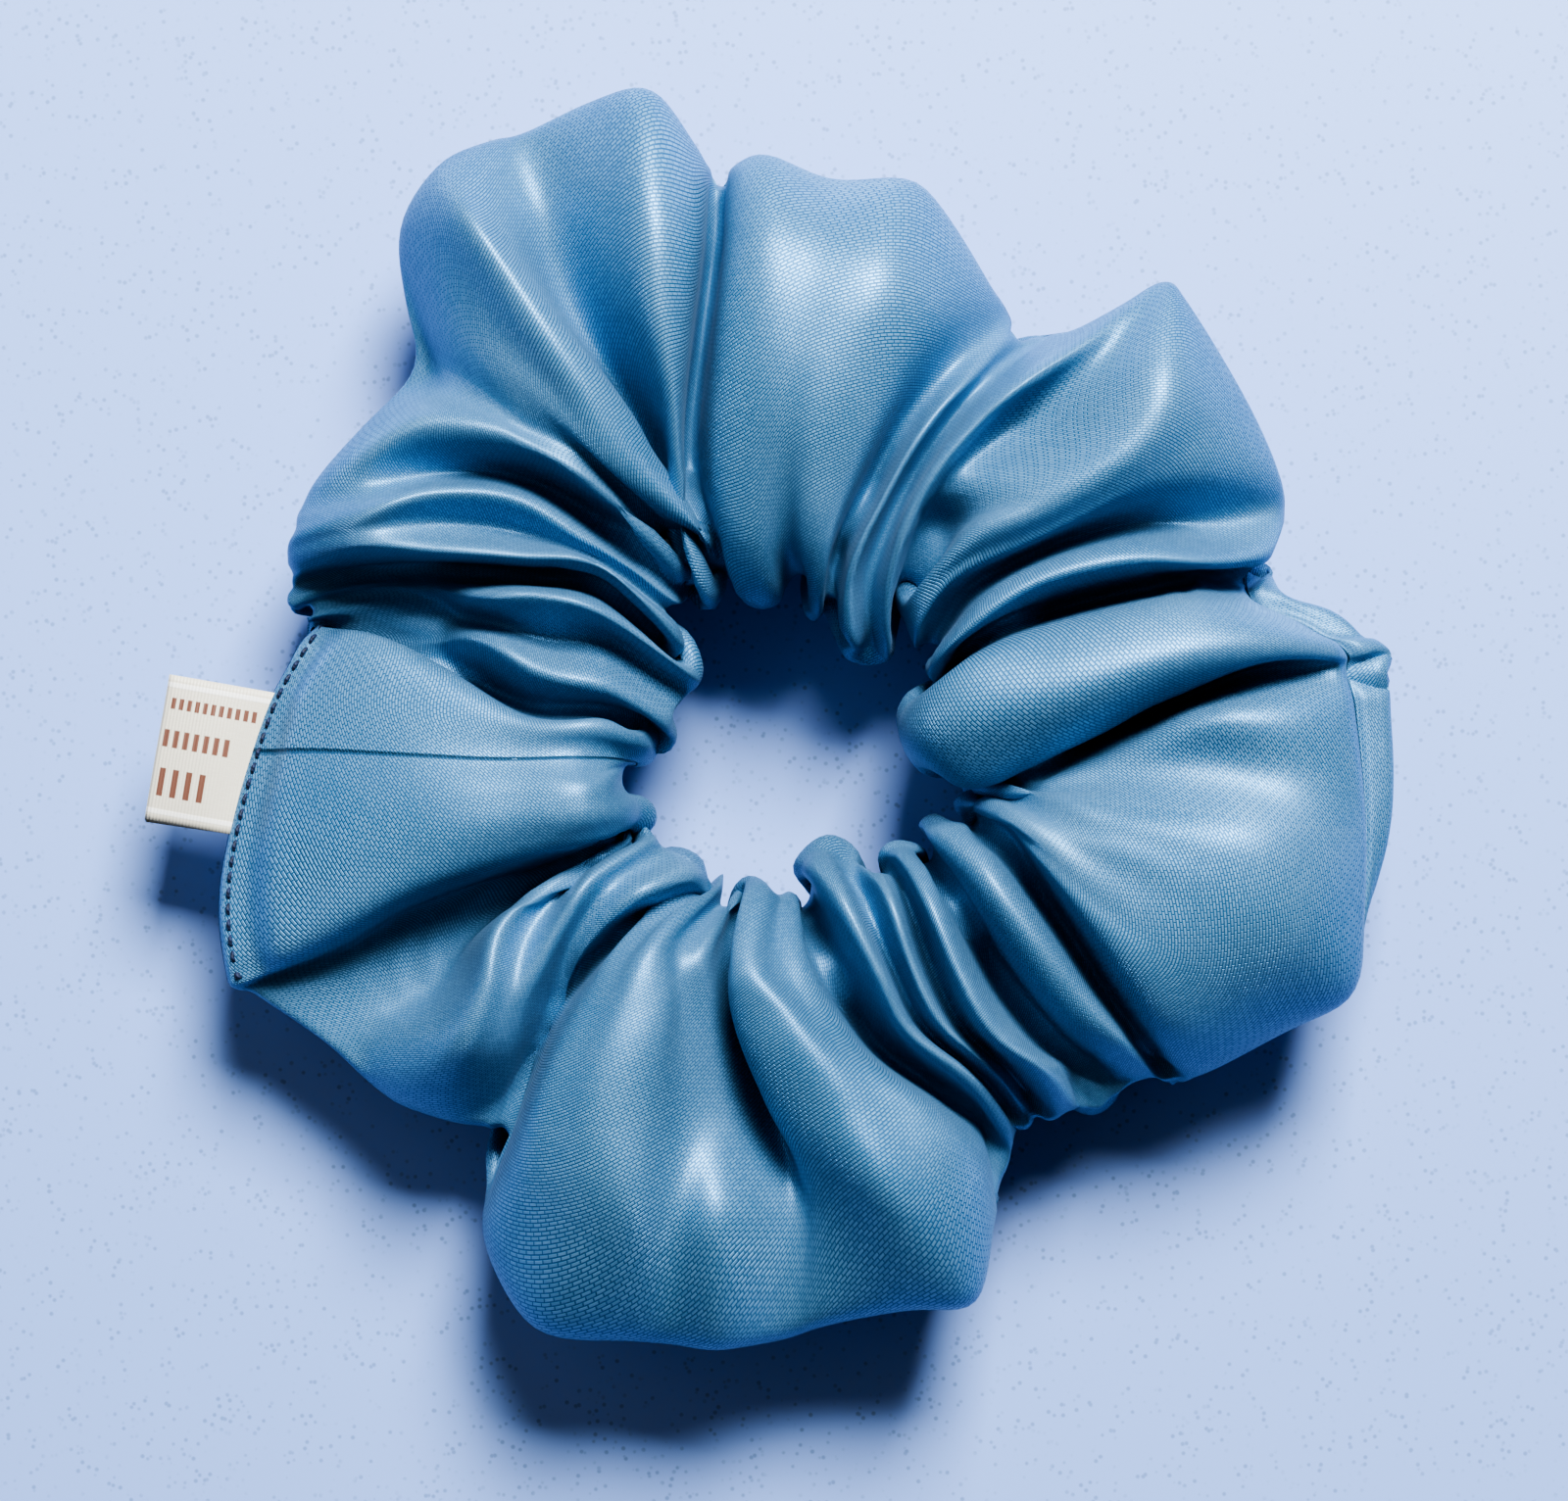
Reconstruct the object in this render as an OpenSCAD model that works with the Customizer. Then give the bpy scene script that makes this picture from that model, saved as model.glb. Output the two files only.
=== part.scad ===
// Satin hair scrunchie: a gathered satin tube around a joined loop of flat elastic.
// Origin: centre of the hair opening, at half the scrunchie's height. +Z is up, and the scrunchie
// lies on its flattened underside.
// The casing and the elastic are each drawn as a held half (-X) and a pulled half (+X),
// so that the loop can be drawn open along X, as two fingers stretch it.

/* [Casing] */
// Radius of the relaxed hair opening through the gathers
opening_r = 15.5; // [12:0.5:18]
// Height of the gathered casing, from its flattened underside to its top
casing_h = 33; // [30:1:38]
// Outer radius of the core of the casing, between the puffs
core_r = 45; // [42:1:46]
// Thickness of the satin with the gathers that lie on it
cloth_t = 1; // [0.8:0.1:1.4]

/* [Elastic] */
// Radius of the relaxed elastic loop, at the middle of its strip
elastic_r = 24; // [22:0.5:26]
// Width of the flat elastic strip
elastic_w = 6; // [4:1:8]
// Thickness of the elastic strip
elastic_t = 1; // [0.6:0.1:1.4]
// Angle over which the two ends of the strip lap at the join
lap_angle = 26; // [16:2:34]

/* [Label] */
// Width of the ribbon
label_w = 15; // [10:1:16]
// Length of the folded ribbon outside the seam
label_len = 9.6; // [6:0.2:12]
// Thickness of one layer of ribbon
ribbon_t = 0.3; // [0.2:0.05:0.4]
// Direction in which the label points, about +Z
label_angle = 170; // [166:1:174]

/* [Sewing] */
// Thickness of the sewing thread
thread_d = 0.4; // [0.3:0.05:0.6]
// Length of one stitch of the lengthwise and cross seams
seam_stitch = 2.2; // [1.5:0.1:3]
// Length of one visible stitch of the closing seam
top_stitch = 1.3; // [1:0.1:1.6]

/* [Hidden] */

satin = "#5b8fb5";
knitted = "#e9e9e4";
blue_thread = "#4a7ca3";
navy_thread = "#1d2f52";
cream_ribbon = "#e9e4d6";

fine = 72;
tiny = 0.01;
// Clearance between the two halves of the loop
half_gap = 0.6;
// Chamfer of the core ring's outer and inner edges
core_chamfer = 9;
neck_chamfer = 6;
// Anything larger than the whole scrunchie
big = 200;

// Puffs of cloth that stand out of the core: direction, radius of the puff, reach from the origin.
// None crosses the gap between the two halves.
PUFFS = [
    [80, 8.5, 60], [69, 13.5, 59.5], [50, 13, 60], [32, 12, 56], [12, 12, 58], [356, 15, 61.5],
    [332, 15, 62], [306, 13, 51.5], [285, 12, 61.5], [260, 9, 64], [246, 15, 66.5], [222, 11, 55], [201, 13, 62.5],
    [180, 14, 56], [158, 12, 56], [127, 14, 65], [107, 14.5, 68], [99, 7.5, 60]
];
// The two puffs beside the closed gap in the seam, and the stretch of each that is topstitched
CLOSING = [[201, 13, 62.5, -42, 24], [180, 14, 56, -22, 36]];
// How far above the mid plane the topstitching lies on a puff, in degrees
closing_rise = 24;
// Middle of the label's hinge line, left of the origin and below it in plan
hinge_x = -57.3;
hinge_y = -0.6;
// Gap between that line and the loose part of the label
hinge_gap = 0.6;
label_gap = 0.3;
// Clearance between the hinge line and the sewn ends
tab_gap = 0.3;
tab_len = 4;
// Direction of the cross seam, where the two ends of the cloth tube are joined
cross_angle = 183;

// The half space of one side of the loop, moved across the gap by over: side -1 is held, +1 is pulled
module half(side, over = 0) {
    edge = half_gap / 2 - over;
    intersection() {
        children();
        translate([side > 0 ? edge : -edge - big, -big / 2, -big / 2])
            cube([big, big, big]);
    }
}

// Section of the core ring, shrunk by inset on every side
module core_section(inset) {
    low = inset - casing_h / 2;
    high = casing_h / 2 - inset;
    inner = opening_r + inset;
    outer = core_r - inset;
    neck = neck_chamfer - inset * 0.4;
    edge = core_chamfer - inset * 0.4;
    polygon([
        [inner, low + neck], [inner + neck, low], [outer - edge, low], [outer, low + edge],
        [outer, high - edge], [outer - edge, high], [inner + neck, high], [inner, high - neck]
    ]);
}

// One side of the casing as a solid, shrunk by inset on every side
module casing_bulk(side, inset) {
    half(side, inset) rotate_extrude($fn = fine) core_section(inset);
    for (puff = PUFFS)
        if (side * cos(puff[0]) > 0)
            rotate([0, 0, puff[0]]) translate([puff[2] - puff[1], 0, 0])
                sphere(r = puff[1] - inset, $fn = fine);
}

// Half of the hollow satin casing, open where it meets the other half
module casing(side) {
    color(satin) difference() {
        casing_bulk(side, 0);
        casing_bulk(side, cloth_t);
    }
}

// A length of the flat elastic, from one angle to another
module strip(radius, from, to) {
    rotate([0, 0, from])
        rotate_extrude(angle = to - from, $fn = fine)
            translate([radius - elastic_t / 2, -elastic_w / 2])
                square([elastic_t, elastic_w]);
}

// The held side of the elastic, where the two ends of the strip lap
module elastic_held() {
    lap_r = elastic_r + elastic_t + tiny;
    color(knitted) {
        half(-1) strip(elastic_r, 80, 180 + lap_angle / 2);
        half(-1) strip(lap_r, 180 - lap_angle / 2, 280);
    }
}

// The pulled side of the elastic
module elastic_pulled() {
    color(knitted) half(1) strip(elastic_r + elastic_t / 2, -100, 100);
}

// One straight stitch from point a to point b
module stitch(a, b) {
    run = b - a;
    length = norm(run);
    translate(a)
        rotate([0, acos(run[2] / length), atan2(run[1], run[0])])
            cylinder(d = thread_d, h = length, $fn = 16);
}

// A point at an angle and height on the outer face of the lapped elastic
function on_lap(angle, z) = let (r = elastic_r + elastic_t * 1.5 + thread_d / 4)
    [r * cos(angle), r * sin(angle), z];

// Zigzag stitches through the lap of the elastic
module elastic_join() {
    steps = 10;
    sweep = lap_angle * 0.7;
    reach = elastic_w * 0.36;
    color(navy_thread)
        for (i = [0:steps - 1]) {
            start = 180 - sweep / 2 + sweep * i / steps;
            rise = i % 2 == 0 ? -reach : reach;
            stitch(on_lap(start, rise), on_lap(start + sweep / steps * 0.8, -rise * 0.8));
        }
}

// A point on a puff: turn is measured about the puff's own centre, rise above the mid plane
function on_puff(puff, turn, rise, inset) = let (
        r = puff[1] - inset,
        centre = (puff[2] - puff[1]) * [cos(puff[0]), sin(puff[0])],
        way = puff[0] + turn
    )
    [centre[0] + r * cos(rise) * cos(way), centre[1] + r * cos(rise) * sin(way), r * sin(rise)];

// Stitches of the lengthwise seam inside the cloth of each puff's outer edge
module long_seam(side) {
    spread = 24;
    color(blue_thread)
        for (puff = PUFFS)
            if (side * cos(puff[0]) > 0) {
                count = floor(2 * spread * PI / 180 * puff[1] / (seam_stitch * 1.2));
                step = 2 * spread / count;
                for (i = [0:count - 1]) {
                    turn = -spread + step * i;
                    stitch(on_puff(puff, turn, 0, cloth_t / 2), on_puff(puff, turn + step * 0.8, 0, cloth_t / 2));
                }
            }
}

// Stitches of the cross seam, in the cloth over and under the core
module cross_seam() {
    first_r = opening_r + neck_chamfer + 1;
    last_r = core_r - core_chamfer - 1;
    count = floor((last_r - first_r) / (seam_stitch * 1.2));
    step = (last_r - first_r) / count;
    color(blue_thread)
        rotate([0, 0, cross_angle])
            for (z = [-1, 1] * (casing_h - cloth_t) / 2, i = [0:count - 1])
                stitch([first_r + step * i, 0, z], [first_r + step * (i + 0.8), 0, z]);
}

// Visible topstitching that closes the gap through which the tube was turned
module closing_stitches() {
    color(navy_thread)
        for (puff = CLOSING) {
            count = round((puff[4] - puff[3]) * PI / 180 * puff[1] * cos(closing_rise) / (top_stitch * 1.25));
            step = (puff[4] - puff[3]) / count;
            for (i = [0:count - 1])
                stitch(
                    on_puff(puff, puff[3] + step * i, closing_rise, thread_d * 0.2),
                    on_puff(puff, puff[3] + step * (i + 0.8), closing_rise, thread_d * 0.2)
                );
        }
}

// Knot of thread where the topstitching was fastened off
module closing_backtack() {
    puff = CLOSING[0];
    color(navy_thread)
        translate(on_puff(puff, puff[4] + 5, closing_rise, 0)) sphere(d = thread_d * 2.2, $fn = 24);
}

// Puts a shape drawn in the label's own frame on its hinge line: X points out along the label
module on_label_hinge() {
    translate([hinge_x, hinge_y, 0]) rotate([0, 0, label_angle]) children();
}

// The two ends of the ribbon that are caught in the seam
module label_sewn_ends() {
    tab_t = 2 * ribbon_t;
    color(cream_ribbon) on_label_hinge()
        translate([-tab_gap - tab_len, -label_w / 2, -tab_t / 2]) cube([tab_len, label_w, tab_t]);
}

// The loose loop of folded ribbon outside the seam
module ribbon_label() {
    thick = 2 * ribbon_t + label_gap;
    straight = label_len - hinge_gap - thick / 2;
    color(cream_ribbon) on_label_hinge()
        translate([hinge_gap, label_w / 2, 0]) rotate([90, 0, 0]) linear_extrude(label_w)
            difference() {
                union() {
                    translate([0, -thick / 2]) square([straight, thick]);
                    translate([straight, 0]) circle(d = thick, $fn = fine);
                }
                translate([-1, -label_gap / 2]) square([straight + 1, label_gap]);
                translate([straight, 0]) circle(d = label_gap, $fn = fine);
            }
}

casing(-1);  // casing_held_half
casing(1);  // casing_pulled_half
elastic_held();  // elastic_held_half
elastic_pulled();  // elastic_pulled_half
elastic_join();  // elastic_join_stitches
long_seam(-1);  // long_seam_held_half
long_seam(1);  // long_seam_pulled_half
cross_seam();  // cross_seam_stitches
closing_stitches();
closing_backtack();
label_sewn_ends();
ribbon_label();
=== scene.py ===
"""Satin hair scrunchie: a gathered satin tube round a hidden elastic loop, with a ribbon label.

All sizes in the classes are in millimetres, and a mesh is turned to metres as it is made.
The casing is cloth: a grid is gathered over listed folds and relaxed towards the lengths of
its cut. The folds are held strongly, so it doesn't reach those lengths everywhere.
"""

import logging
import math
from dataclasses import dataclass, field
from enum import Enum

import bmesh
import bpy
import numpy as np
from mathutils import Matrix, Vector


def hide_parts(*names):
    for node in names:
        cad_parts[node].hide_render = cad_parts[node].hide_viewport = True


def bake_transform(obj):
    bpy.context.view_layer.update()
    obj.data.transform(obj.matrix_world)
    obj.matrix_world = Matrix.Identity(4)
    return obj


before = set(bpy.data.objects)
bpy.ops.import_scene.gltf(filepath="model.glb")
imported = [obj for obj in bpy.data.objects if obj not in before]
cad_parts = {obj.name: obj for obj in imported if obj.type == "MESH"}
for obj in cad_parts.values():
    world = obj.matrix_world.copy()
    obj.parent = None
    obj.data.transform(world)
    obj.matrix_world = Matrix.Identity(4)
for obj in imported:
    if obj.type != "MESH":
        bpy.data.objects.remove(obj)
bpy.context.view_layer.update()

logging.basicConfig(level=logging.INFO, format="%(message)s")
log = logging.getLogger("scrunchie")

MM = 0.001
FLOOR_Z = -16.5
# Height of the eye above the middle, in millimetres
EYE = 420.0
# Keeps a length that is divided by from being zero
TINY = 1e-9
# What a node's socket may be given: another socket, a number, or a colour or vector
Value = bpy.types.NodeSocket | float | tuple


def crest(name: str, *stations: tuple) -> tuple:
    """One ridge of the folds, from the elastic out to the seam."""
    return (name, 1.0, stations)


def furrow(name: str, *stations: tuple) -> tuple:
    """One valley of the folds, from the elastic out to the seam."""
    return (name, 0.0, stations)


# Each line has six stations from the elastic out to the seam. A station is x, y and z in
# millimetres, with x and y as they look from the eye above the middle.
FOLDS = [
    crest("right_panel", (18.8, -5, -1), (23.5, -6, 8.5), (33, -7.5, 13),
          (45, -9, 15.5), (53, -10, 13), (58.8, -10, 7)),
    crest("right_panel_rise", (18.6, -4.5, -2), (23.2, -5.2, 7), (32, -4, 9),
          (42, -2.8, 10.5), (51, -3.6, 11.5), (58.5, -3, 8)),
    crest("right_panel_top", (18.2, -4.1, -3), (22.8, -4.6, 6), (31, -1.4, 7),
          (41, 2.6, 12.8), (49.5, 3.2, 12.5), (57.8, 3.0, 8)),
    furrow("right_crease", (17.6, -3.8, -4), (22, -4.2, 5), (29.5, 0.5, 0),
           (38.5, 4, 0), (47.3, 7.3, 5), (57.2, 7, 8)),
    crest("roll_under", (14, -3.2, 0), (18, -5, 8), (28, -1, 9.5),
          (39, 4.6, 11), (48, 8, 12), (56.7, 8.6, 8)),
    crest("roll_ridge", (10.5, -1, 2), (14, 0, 12), (26, 3.5, 15.5),
          (38, 7.8, 16), (48, 10, 13.5), (55.2, 10.2, 8)),
    crest("roll_middle", (10.5, 1.5, 3), (14.5, 4, 13), (26, 8, 15),
          (38, 11.5, 14.5), (46, 12.5, 12), (51.8, 12, 6.5)),
    crest("roll_upper", (12, 4, 3), (16, 7.5, 12), (27, 11.8, 11),
          (37, 14.2, 11), (42.3, 14.8, 9), (47, 14.3, 4)),
    furrow("roll_gap", (14, 6.5, -1), (19, 11, 3), (28, 13.8, 0),
           (37, 15.8, 1), (41, 16.7, 1), (45.5, 16.6, -1)),
    crest("band", (13.5, 6.5, 4), (16.5, 10.5, 12), (24, 15.8, 13.5),
          (34, 18.2, 13.5), (43, 18, 11), (48.3, 18.6, 3)),
    crest("band_top", (14, 8, 2), (18, 13.5, 10), (25, 17.8, 11),
          (34, 20.2, 10.5), (43, 19.7, 7), (49.2, 21, 2)),
    furrow("dark_facet", (13, 9, -2), (17, 15, 3), (25, 19.5, 5),
           (34, 22, 4), (42, 22.5, 4), (49.6, 23.5, 1)),
    crest("dark_facet_rise", (12, 10, 2), (15, 15.5, 9), (24, 20, 11),
          (34, 24.5, 11.5), (43, 27, 10), (49.4, 27, 2)),
    crest("corner_facet", (10.5, 12.5, 3), (16.5, 18.5, 11), (25, 21.8, 13),
          (35, 27, 14), (42.5, 32.5, 11.5), (46, 34.5, 3)),
    crest("corner_ridge", (11, 13, 3), (17, 20.8, 12.5), (25, 24.3, 15),
          (33.5, 30.5, 16), (38, 38.5, 14.5), (39.8, 45, 5)),
    furrow("corner_dip", (12, 15, -2), (13.7, 20, 1), (15.7, 26, 9.5),
           (21.5, 31.5, 7.5), (31, 39.5, 10), (37.3, 47.2, 5)),
    crest("corner_left", (10.5, 15, -1), (12, 20.8, 3), (13.8, 25.5, 10.5),
          (20, 33, 10), (29, 40, 11.5), (33.5, 44.8, 3)),
    crest("pipe", (9, 8, 2), (9.3, 17, 11), (13, 26, 13.5),
          (17.8, 32, 14), (23, 37, 12.5), (28, 42, 1)),
    furrow("pipe_dip", (7.5, 10, -2), (7.3, 17, 3), (11, 26, 5),
           (15.2, 32.4, 6), (19.8, 37.6, 5), (24.2, 41, -2)),
    crest("thin_pipe", (5.5, 9, 2), (5, 16, 10), (9, 25, 12),
          (13, 31.8, 12), (17.5, 37, 9), (22.3, 41.4, 0)),
    furrow("top_to_right", (4, 14, -3), (3.5, 17.5, 0), (7, 25, 3),
           (11, 32.5, 6), (16.5, 39, 6.5), (21.5, 43, 0)),
    crest("top_shoulder", (2.5, 13, 1), (3, 18.5, 9), (6, 27, 13),
          (10, 36, 14), (14.5, 44, 12), (19, 48, 2)),
    crest("top_right", (2, 13, 1), (2, 19, 11), (3.5, 28, 15),
          (6.5, 38, 16.5), (10.5, 48.5, 15), (15.5, 54, 3)),
    crest("top_corner", (1, 15, 0), (0, 19, 10), (1, 29, 15.5),
          (3.5, 39.5, 17), (7.5, 50.5, 15), (12, 58, 5)),
    crest("top_middle", (0, 16, -1), (-1.5, 19.5, 9), (-1.5, 30, 15),
          (0, 41, 16.5), (2, 52, 13.5), (3.5, 57.3, 3)),
    crest("top_left", (-2, 14, 1), (-4, 19, 10), (-4.5, 29, 14),
          (-4, 41, 16), (-3.5, 53, 14), (-3.5, 60.4, 5)),
    crest("top_edge", (-5, 14, 1), (-8, 21, 8), (-9, 30, 11.5),
          (-8.3, 41, 13), (-7.2, 51, 11.5), (-6.5, 59, 4)),
    furrow("tall_to_top", (-8, 16, -3), (-10.5, 22, -2), (-11, 31, -1),
           (-10, 40, 0), (-8.8, 49, 0), (-8, 57, 0)),
    crest("tall_edge", (-9, 14, 1), (-11.8, 22.5, 7), (-12, 31.5, 10),
          (-11.3, 42, 12.5), (-10.3, 52, 11.5), (-10.8, 61.5, 3)),
    crest("tall_ridge", (-9, 15, 0), (-12.5, 23.5, 7), (-13, 33, 12.5),
          (-14.7, 45, 16), (-15, 57, 15), (-15, 67.4, 6)),
    crest("tall_slope", (-10, 16, -1), (-13, 24.5, 4), (-15, 34, 7.5),
          (-19, 46, 10), (-20.5, 57.5, 10.5), (-21.5, 65.5, 3)),
    furrow("tall_dip", (-10.5, 17, -2), (-13.5, 25.5, 2), (-17.5, 34, 1),
           (-23.5, 44.5, 3), (-26.5, 55, 5.5), (-28, 62.2, 2)),
    crest("slant_edge", (-9.5, 18, 2), (-13.5, 27.5, 9), (-19, 36, 12.5),
          (-26.5, 45.5, 13.5), (-31.5, 53.5, 12), (-32.5, 61.3, 3)),
    crest("slant_ridge", (-9.5, 19, 4), (-16.5, 28, 12), (-22.5, 36.5, 15.5),
          (-29, 46, 16), (-34.5, 54.5, 14), (-36.8, 59.2, 4)),
    crest("slant_left", (-10, 20, 2), (-18.5, 27, 12), (-26, 36, 13.5),
          (-32.5, 44.5, 12), (-37.5, 51, 9), (-40.9, 52.5, 0)),
    crest("slant_shadow", (-12, 19, 1), (-19.5, 27, 11), (-27.5, 33.5, 12),
          (-34, 39.5, 9), (-37.5, 42, 4), (-40, 44.5, -4)),
    crest("slant_foot", (-12, 18, 1), (-20, 26.5, 11), (-28.5, 32, 10.5),
          (-33.5, 35, 7), (-36.5, 36.3, 2), (-38.2, 38, -6)),
    crest("left_crest", (-11.5, 17, 2), (-20, 25.8, 10.5), (-28, 30.5, 11.5),
          (-35, 32.8, 11), (-40, 33.5, 8.5), (-43.5, 33, 0)),
    crest("left_facet", (-11, 16.5, 0), (-19.5, 24, 8), (-28, 28.5, 8.5),
          (-37, 30, 9), (-44, 29.5, 9), (-49, 27, 1)),
    furrow("left_gap", (-11, 16, -3), (-19, 21.5, 1), (-28, 26.5, 3),
           (-37, 27, 5), (-45, 25.5, 8), (-51, 23.5, 2)),
    crest("arm_upper", (-12, 13, 2), (-20.5, 19, 9), (-28.5, 24.3, 11),
          (-37, 25.2, 12.5), (-44.5, 23.2, 12), (-52, 21, 3)),
    furrow("arm_pocket", (-12.5, 13, 1), (-21, 18.5, 6), (-29, 21.3, 5),
           (-37, 22.2, 7.5), (-45, 21.5, 11), (-52.3, 19.5, 2)),
    crest("arm_lower", (-11.5, 9, 4), (-20, 17.8, 11), (-28.5, 18.8, 12.5),
          (-37, 19.3, 12.5), (-45, 19.5, 10), (-52, 17.5, 0)),
    furrow("hollow", (-12.5, 9, 0), (-20, 15.5, 3), (-28, 16.5, -2),
           (-37, 17, -7), (-46, 15.8, -8), (-51, 13.8, -8)),
    crest("loop_upper", (-10.5, 5.5, 4), (-19.5, 12.5, 11.5), (-26.5, 14.8, 12.5),
          (-33, 14.5, 9.5), (-41, 15, -10), (-50, 13, -9.5)),
    furrow("loop_hole", (-11, 4.5, 1), (-19, 10, 4), (-25.5, 10.5, 4),
           (-32, 12, 2), (-40, 13, -11.5), (-49.8, 12.2, -10)),
    crest("loop_lower", (-13, 1, 4), (-19, 5, 11), (-26.5, 7, 12),
          (-33, 10.5, 8.5), (-40, 10.8, -10), (-49.6, 11.2, -9.5)),
    furrow("loop_foot", (-14.5, 1, 1), (-20, 3.2, 5), (-28, 3.8, 2),
           (-36, 7.5, -6), (-42, 8.5, -9), (-49.3, 10.2, -7)),
    crest("label_top_edge", (-15, 0.5, 3), (-20.5, 1.6, 9.5), (-28, 2.2, 9.5),
          (-36, 7, 7), (-43.5, 10.8, 4), (-49, 11.5, -1)),
    crest("label_upper", (-15, -0.5, 3), (-21, 0.6, 10), (-30, 1.2, 10),
          (-40, 3, 8.5), (-48, 5, 5.5), (-53.2, 5.7, 0)),
    crest("cross_seam", (-16, -2, 2), (-21, -1.4, 10), (-30, -1.6, 10.5),
          (-40, -1.2, 9.5), (-49, -0.7, 6), (-55.7, -0.5, 0)),
    crest("label_middle", (-17, -4, 3), (-21, -4.5, 12), (-30, -5.5, 12.5),
          (-40, -6.2, 11.5), (-50, -7, 7.5), (-58.2, -9, 0.5)),
    crest("label_lower", (-17, -6.5, 3), (-21, -7.8, 12), (-30, -9.5, 12.5),
          (-40, -12, 11.5), (-50, -15, 8), (-59.6, -17, 1)),
    crest("label_low_edge", (-17.5, -8.5, 2), (-21, -10.2, 9.5), (-30, -12.8, 9.5),
          (-40, -16.2, 9.5), (-49, -21, 7), (-58.7, -24.5, 1.5)),
    furrow("under_label", (-19, -10, -2), (-23, -12.5, 2), (-31.5, -15, -3),
           (-39, -18.5, -7), (-46, -23, -8), (-55, -26, -6)),
    furrow("lower_left_floor", (-18.5, -11, 1), (-24, -14, 4), (-33, -19, -4),
           (-38, -24, -5), (-43, -28, -1), (-48.5, -30.5, -4)),
    crest("lower_left", (-18, -12, 1), (-25, -15, 8), (-30.5, -19, 12),
          (-32.5, -25.5, 13.5), (-35.5, -32, 11.5), (-41.5, -37, -1)),
    crest("lower_left_vee", (-17, -11.5, -1), (-22.5, -14, 4), (-27.5, -19.5, 8),
          (-30, -26.5, 11), (-32.5, -33, 8.5), (-36, -39, -2)),
    crest("lower_left_right", (-14.5, -10.5, 3), (-21, -14, 11), (-25, -20, 11.5),
          (-27.5, -26, 10), (-29.5, -32.5, 6), (-32, -39.5, -4)),
    furrow("curl_pocket", (-13.5, -11, 1), (-18.5, -14.5, 7), (-22.8, -20, 7),
           (-25, -26, 4), (-27.5, -32.5, 1), (-30.5, -39.8, -6)),
    crest("curl", (-10, -13.5, 4), (-15.5, -15, 12), (-21.5, -20.8, 9),
          (-23.8, -26.5, 3), (-26.5, -32.5, -1), (-29.8, -40, -7)),
    furrow("left_of_foot", (-9.5, -15.5, -1), (-14.5, -17.8, 3), (-22, -23, 1),
           (-25.5, -29.5, -1), (-28, -36, -3), (-30, -42, -7)),
    crest("foot_edge", (-10.5, -14.5, 1), (-17.5, -20, 9), (-22.5, -27, 11),
          (-26.5, -35.5, 12), (-29.5, -43.5, 9), (-32.5, -50, 0)),
    crest("foot_facet", (-9.5, -15, 2), (-16, -20.5, 11), (-20.5, -28, 14),
          (-24, -37, 14.5), (-26.5, -47, 12), (-30.5, -56.5, 1)),
    crest("foot_ridge", (-8.5, -15, 2), (-14.5, -20.5, 12), (-18, -28.5, 15.5),
          (-21, -38, 16.5), (-21.5, -49, 14.5), (-26.5, -61.8, 3)),
    crest("foot_flat", (-7.5, -15.5, 1), (-12.5, -20.8, 11), (-14, -29, 14.5),
          (-16, -38.5, 15.5), (-16.5, -50, 14.5), (-17, -62.2, 3)),
    crest("foot_soft_dip", (-7, -16, 1), (-11, -21, 10.5), (-11.8, -29.5, 11),
          (-11.8, -39, 10), (-12.6, -50.5, 10.5), (-12.5, -62.6, 3)),
    crest("foot_low_ridge", (-6.5, -16, 1), (-9.3, -21.3, 10), (-9, -29, 9),
          (-8.2, -38.5, 8), (-8.8, -50, 13), (-8.5, -63.3, 4)),
    furrow("foot_dip", (-5.5, -16, -1), (-6.3, -21.5, 3), (-4.5, -29, 2),
           (-2, -38, 2), (-0.5, -48.5, 6.5), (-2, -62, 3)),
    crest("foot_overlap", (-5, -14.5, 2), (-7.2, -22, 11), (-6.9, -29, 12),
          (-3.4, -37.5, 11), (2, -47, 9.5), (3, -60.6, 3)),
    crest("foot_curl", (-3, -14.5, 3), (-4.8, -22.5, 13), (-1, -29, 15.5),
          (3.8, -37.5, 16), (8.5, -47.5, 15.5), (12, -59, 4)),
    crest("foot_curl_outer", (-1.5, -15, 2), (-2, -22.5, 11), (2, -29.5, 13.5),
          (9, -37.5, 14), (13.5, -48, 14), (18.5, -58.6, 4)),
    crest("foot_right", (-0.5, -16, 1), (0.5, -22, 9), (6, -31, 10),
          (13.5, -37.5, 11.5), (18, -43.5, 10), (20, -50, 2)),
    furrow("right_of_foot", (0.5, -16, -3), (2.5, -21.5, -1), (7.5, -30.5, 0),
           (14, -35.5, 1), (19, -39.5, 0), (20.3, -45.5, -4)),
    crest("pleat_one", (1.5, -12, 3), (4, -15.5, 12), (8, -23.5, 13.5),
          (11, -29.5, 12), (17.5, -34.5, 9), (22.3, -40.5, -1)),
    furrow("pleat_one_dip", (5.5, -13, 0), (7.3, -17.5, 4), (10, -24, 5),
           (13, -29.5, 5), (19, -34.5, 3), (22.8, -39.5, -5)),
    crest("pleat_two", (7, -12.5, 2), (9.2, -16, 11), (11.5, -23, 12),
          (14.5, -29, 11), (20, -34, 7), (24, -38.8, -4)),
    furrow("pleat_two_dip", (8.5, -13.5, 0), (10.8, -16, 4), (13.3, -23, 5),
           (16.5, -29.5, 5), (21.5, -34.2, 3), (25, -38.8, -6)),
    crest("pleat_three", (10.5, -11.5, 3), (13, -16, 12), (16.5, -24, 14),
          (20, -30, 13.5), (25, -34, 10.5), (27.5, -38, -1)),
    furrow("pleat_three_dip", (12.5, -11.5, -1), (16.5, -17, 1), (21, -24.5, -3),
           (25.5, -30, -4), (29, -33.5, -4), (30, -37, -8)),
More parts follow.
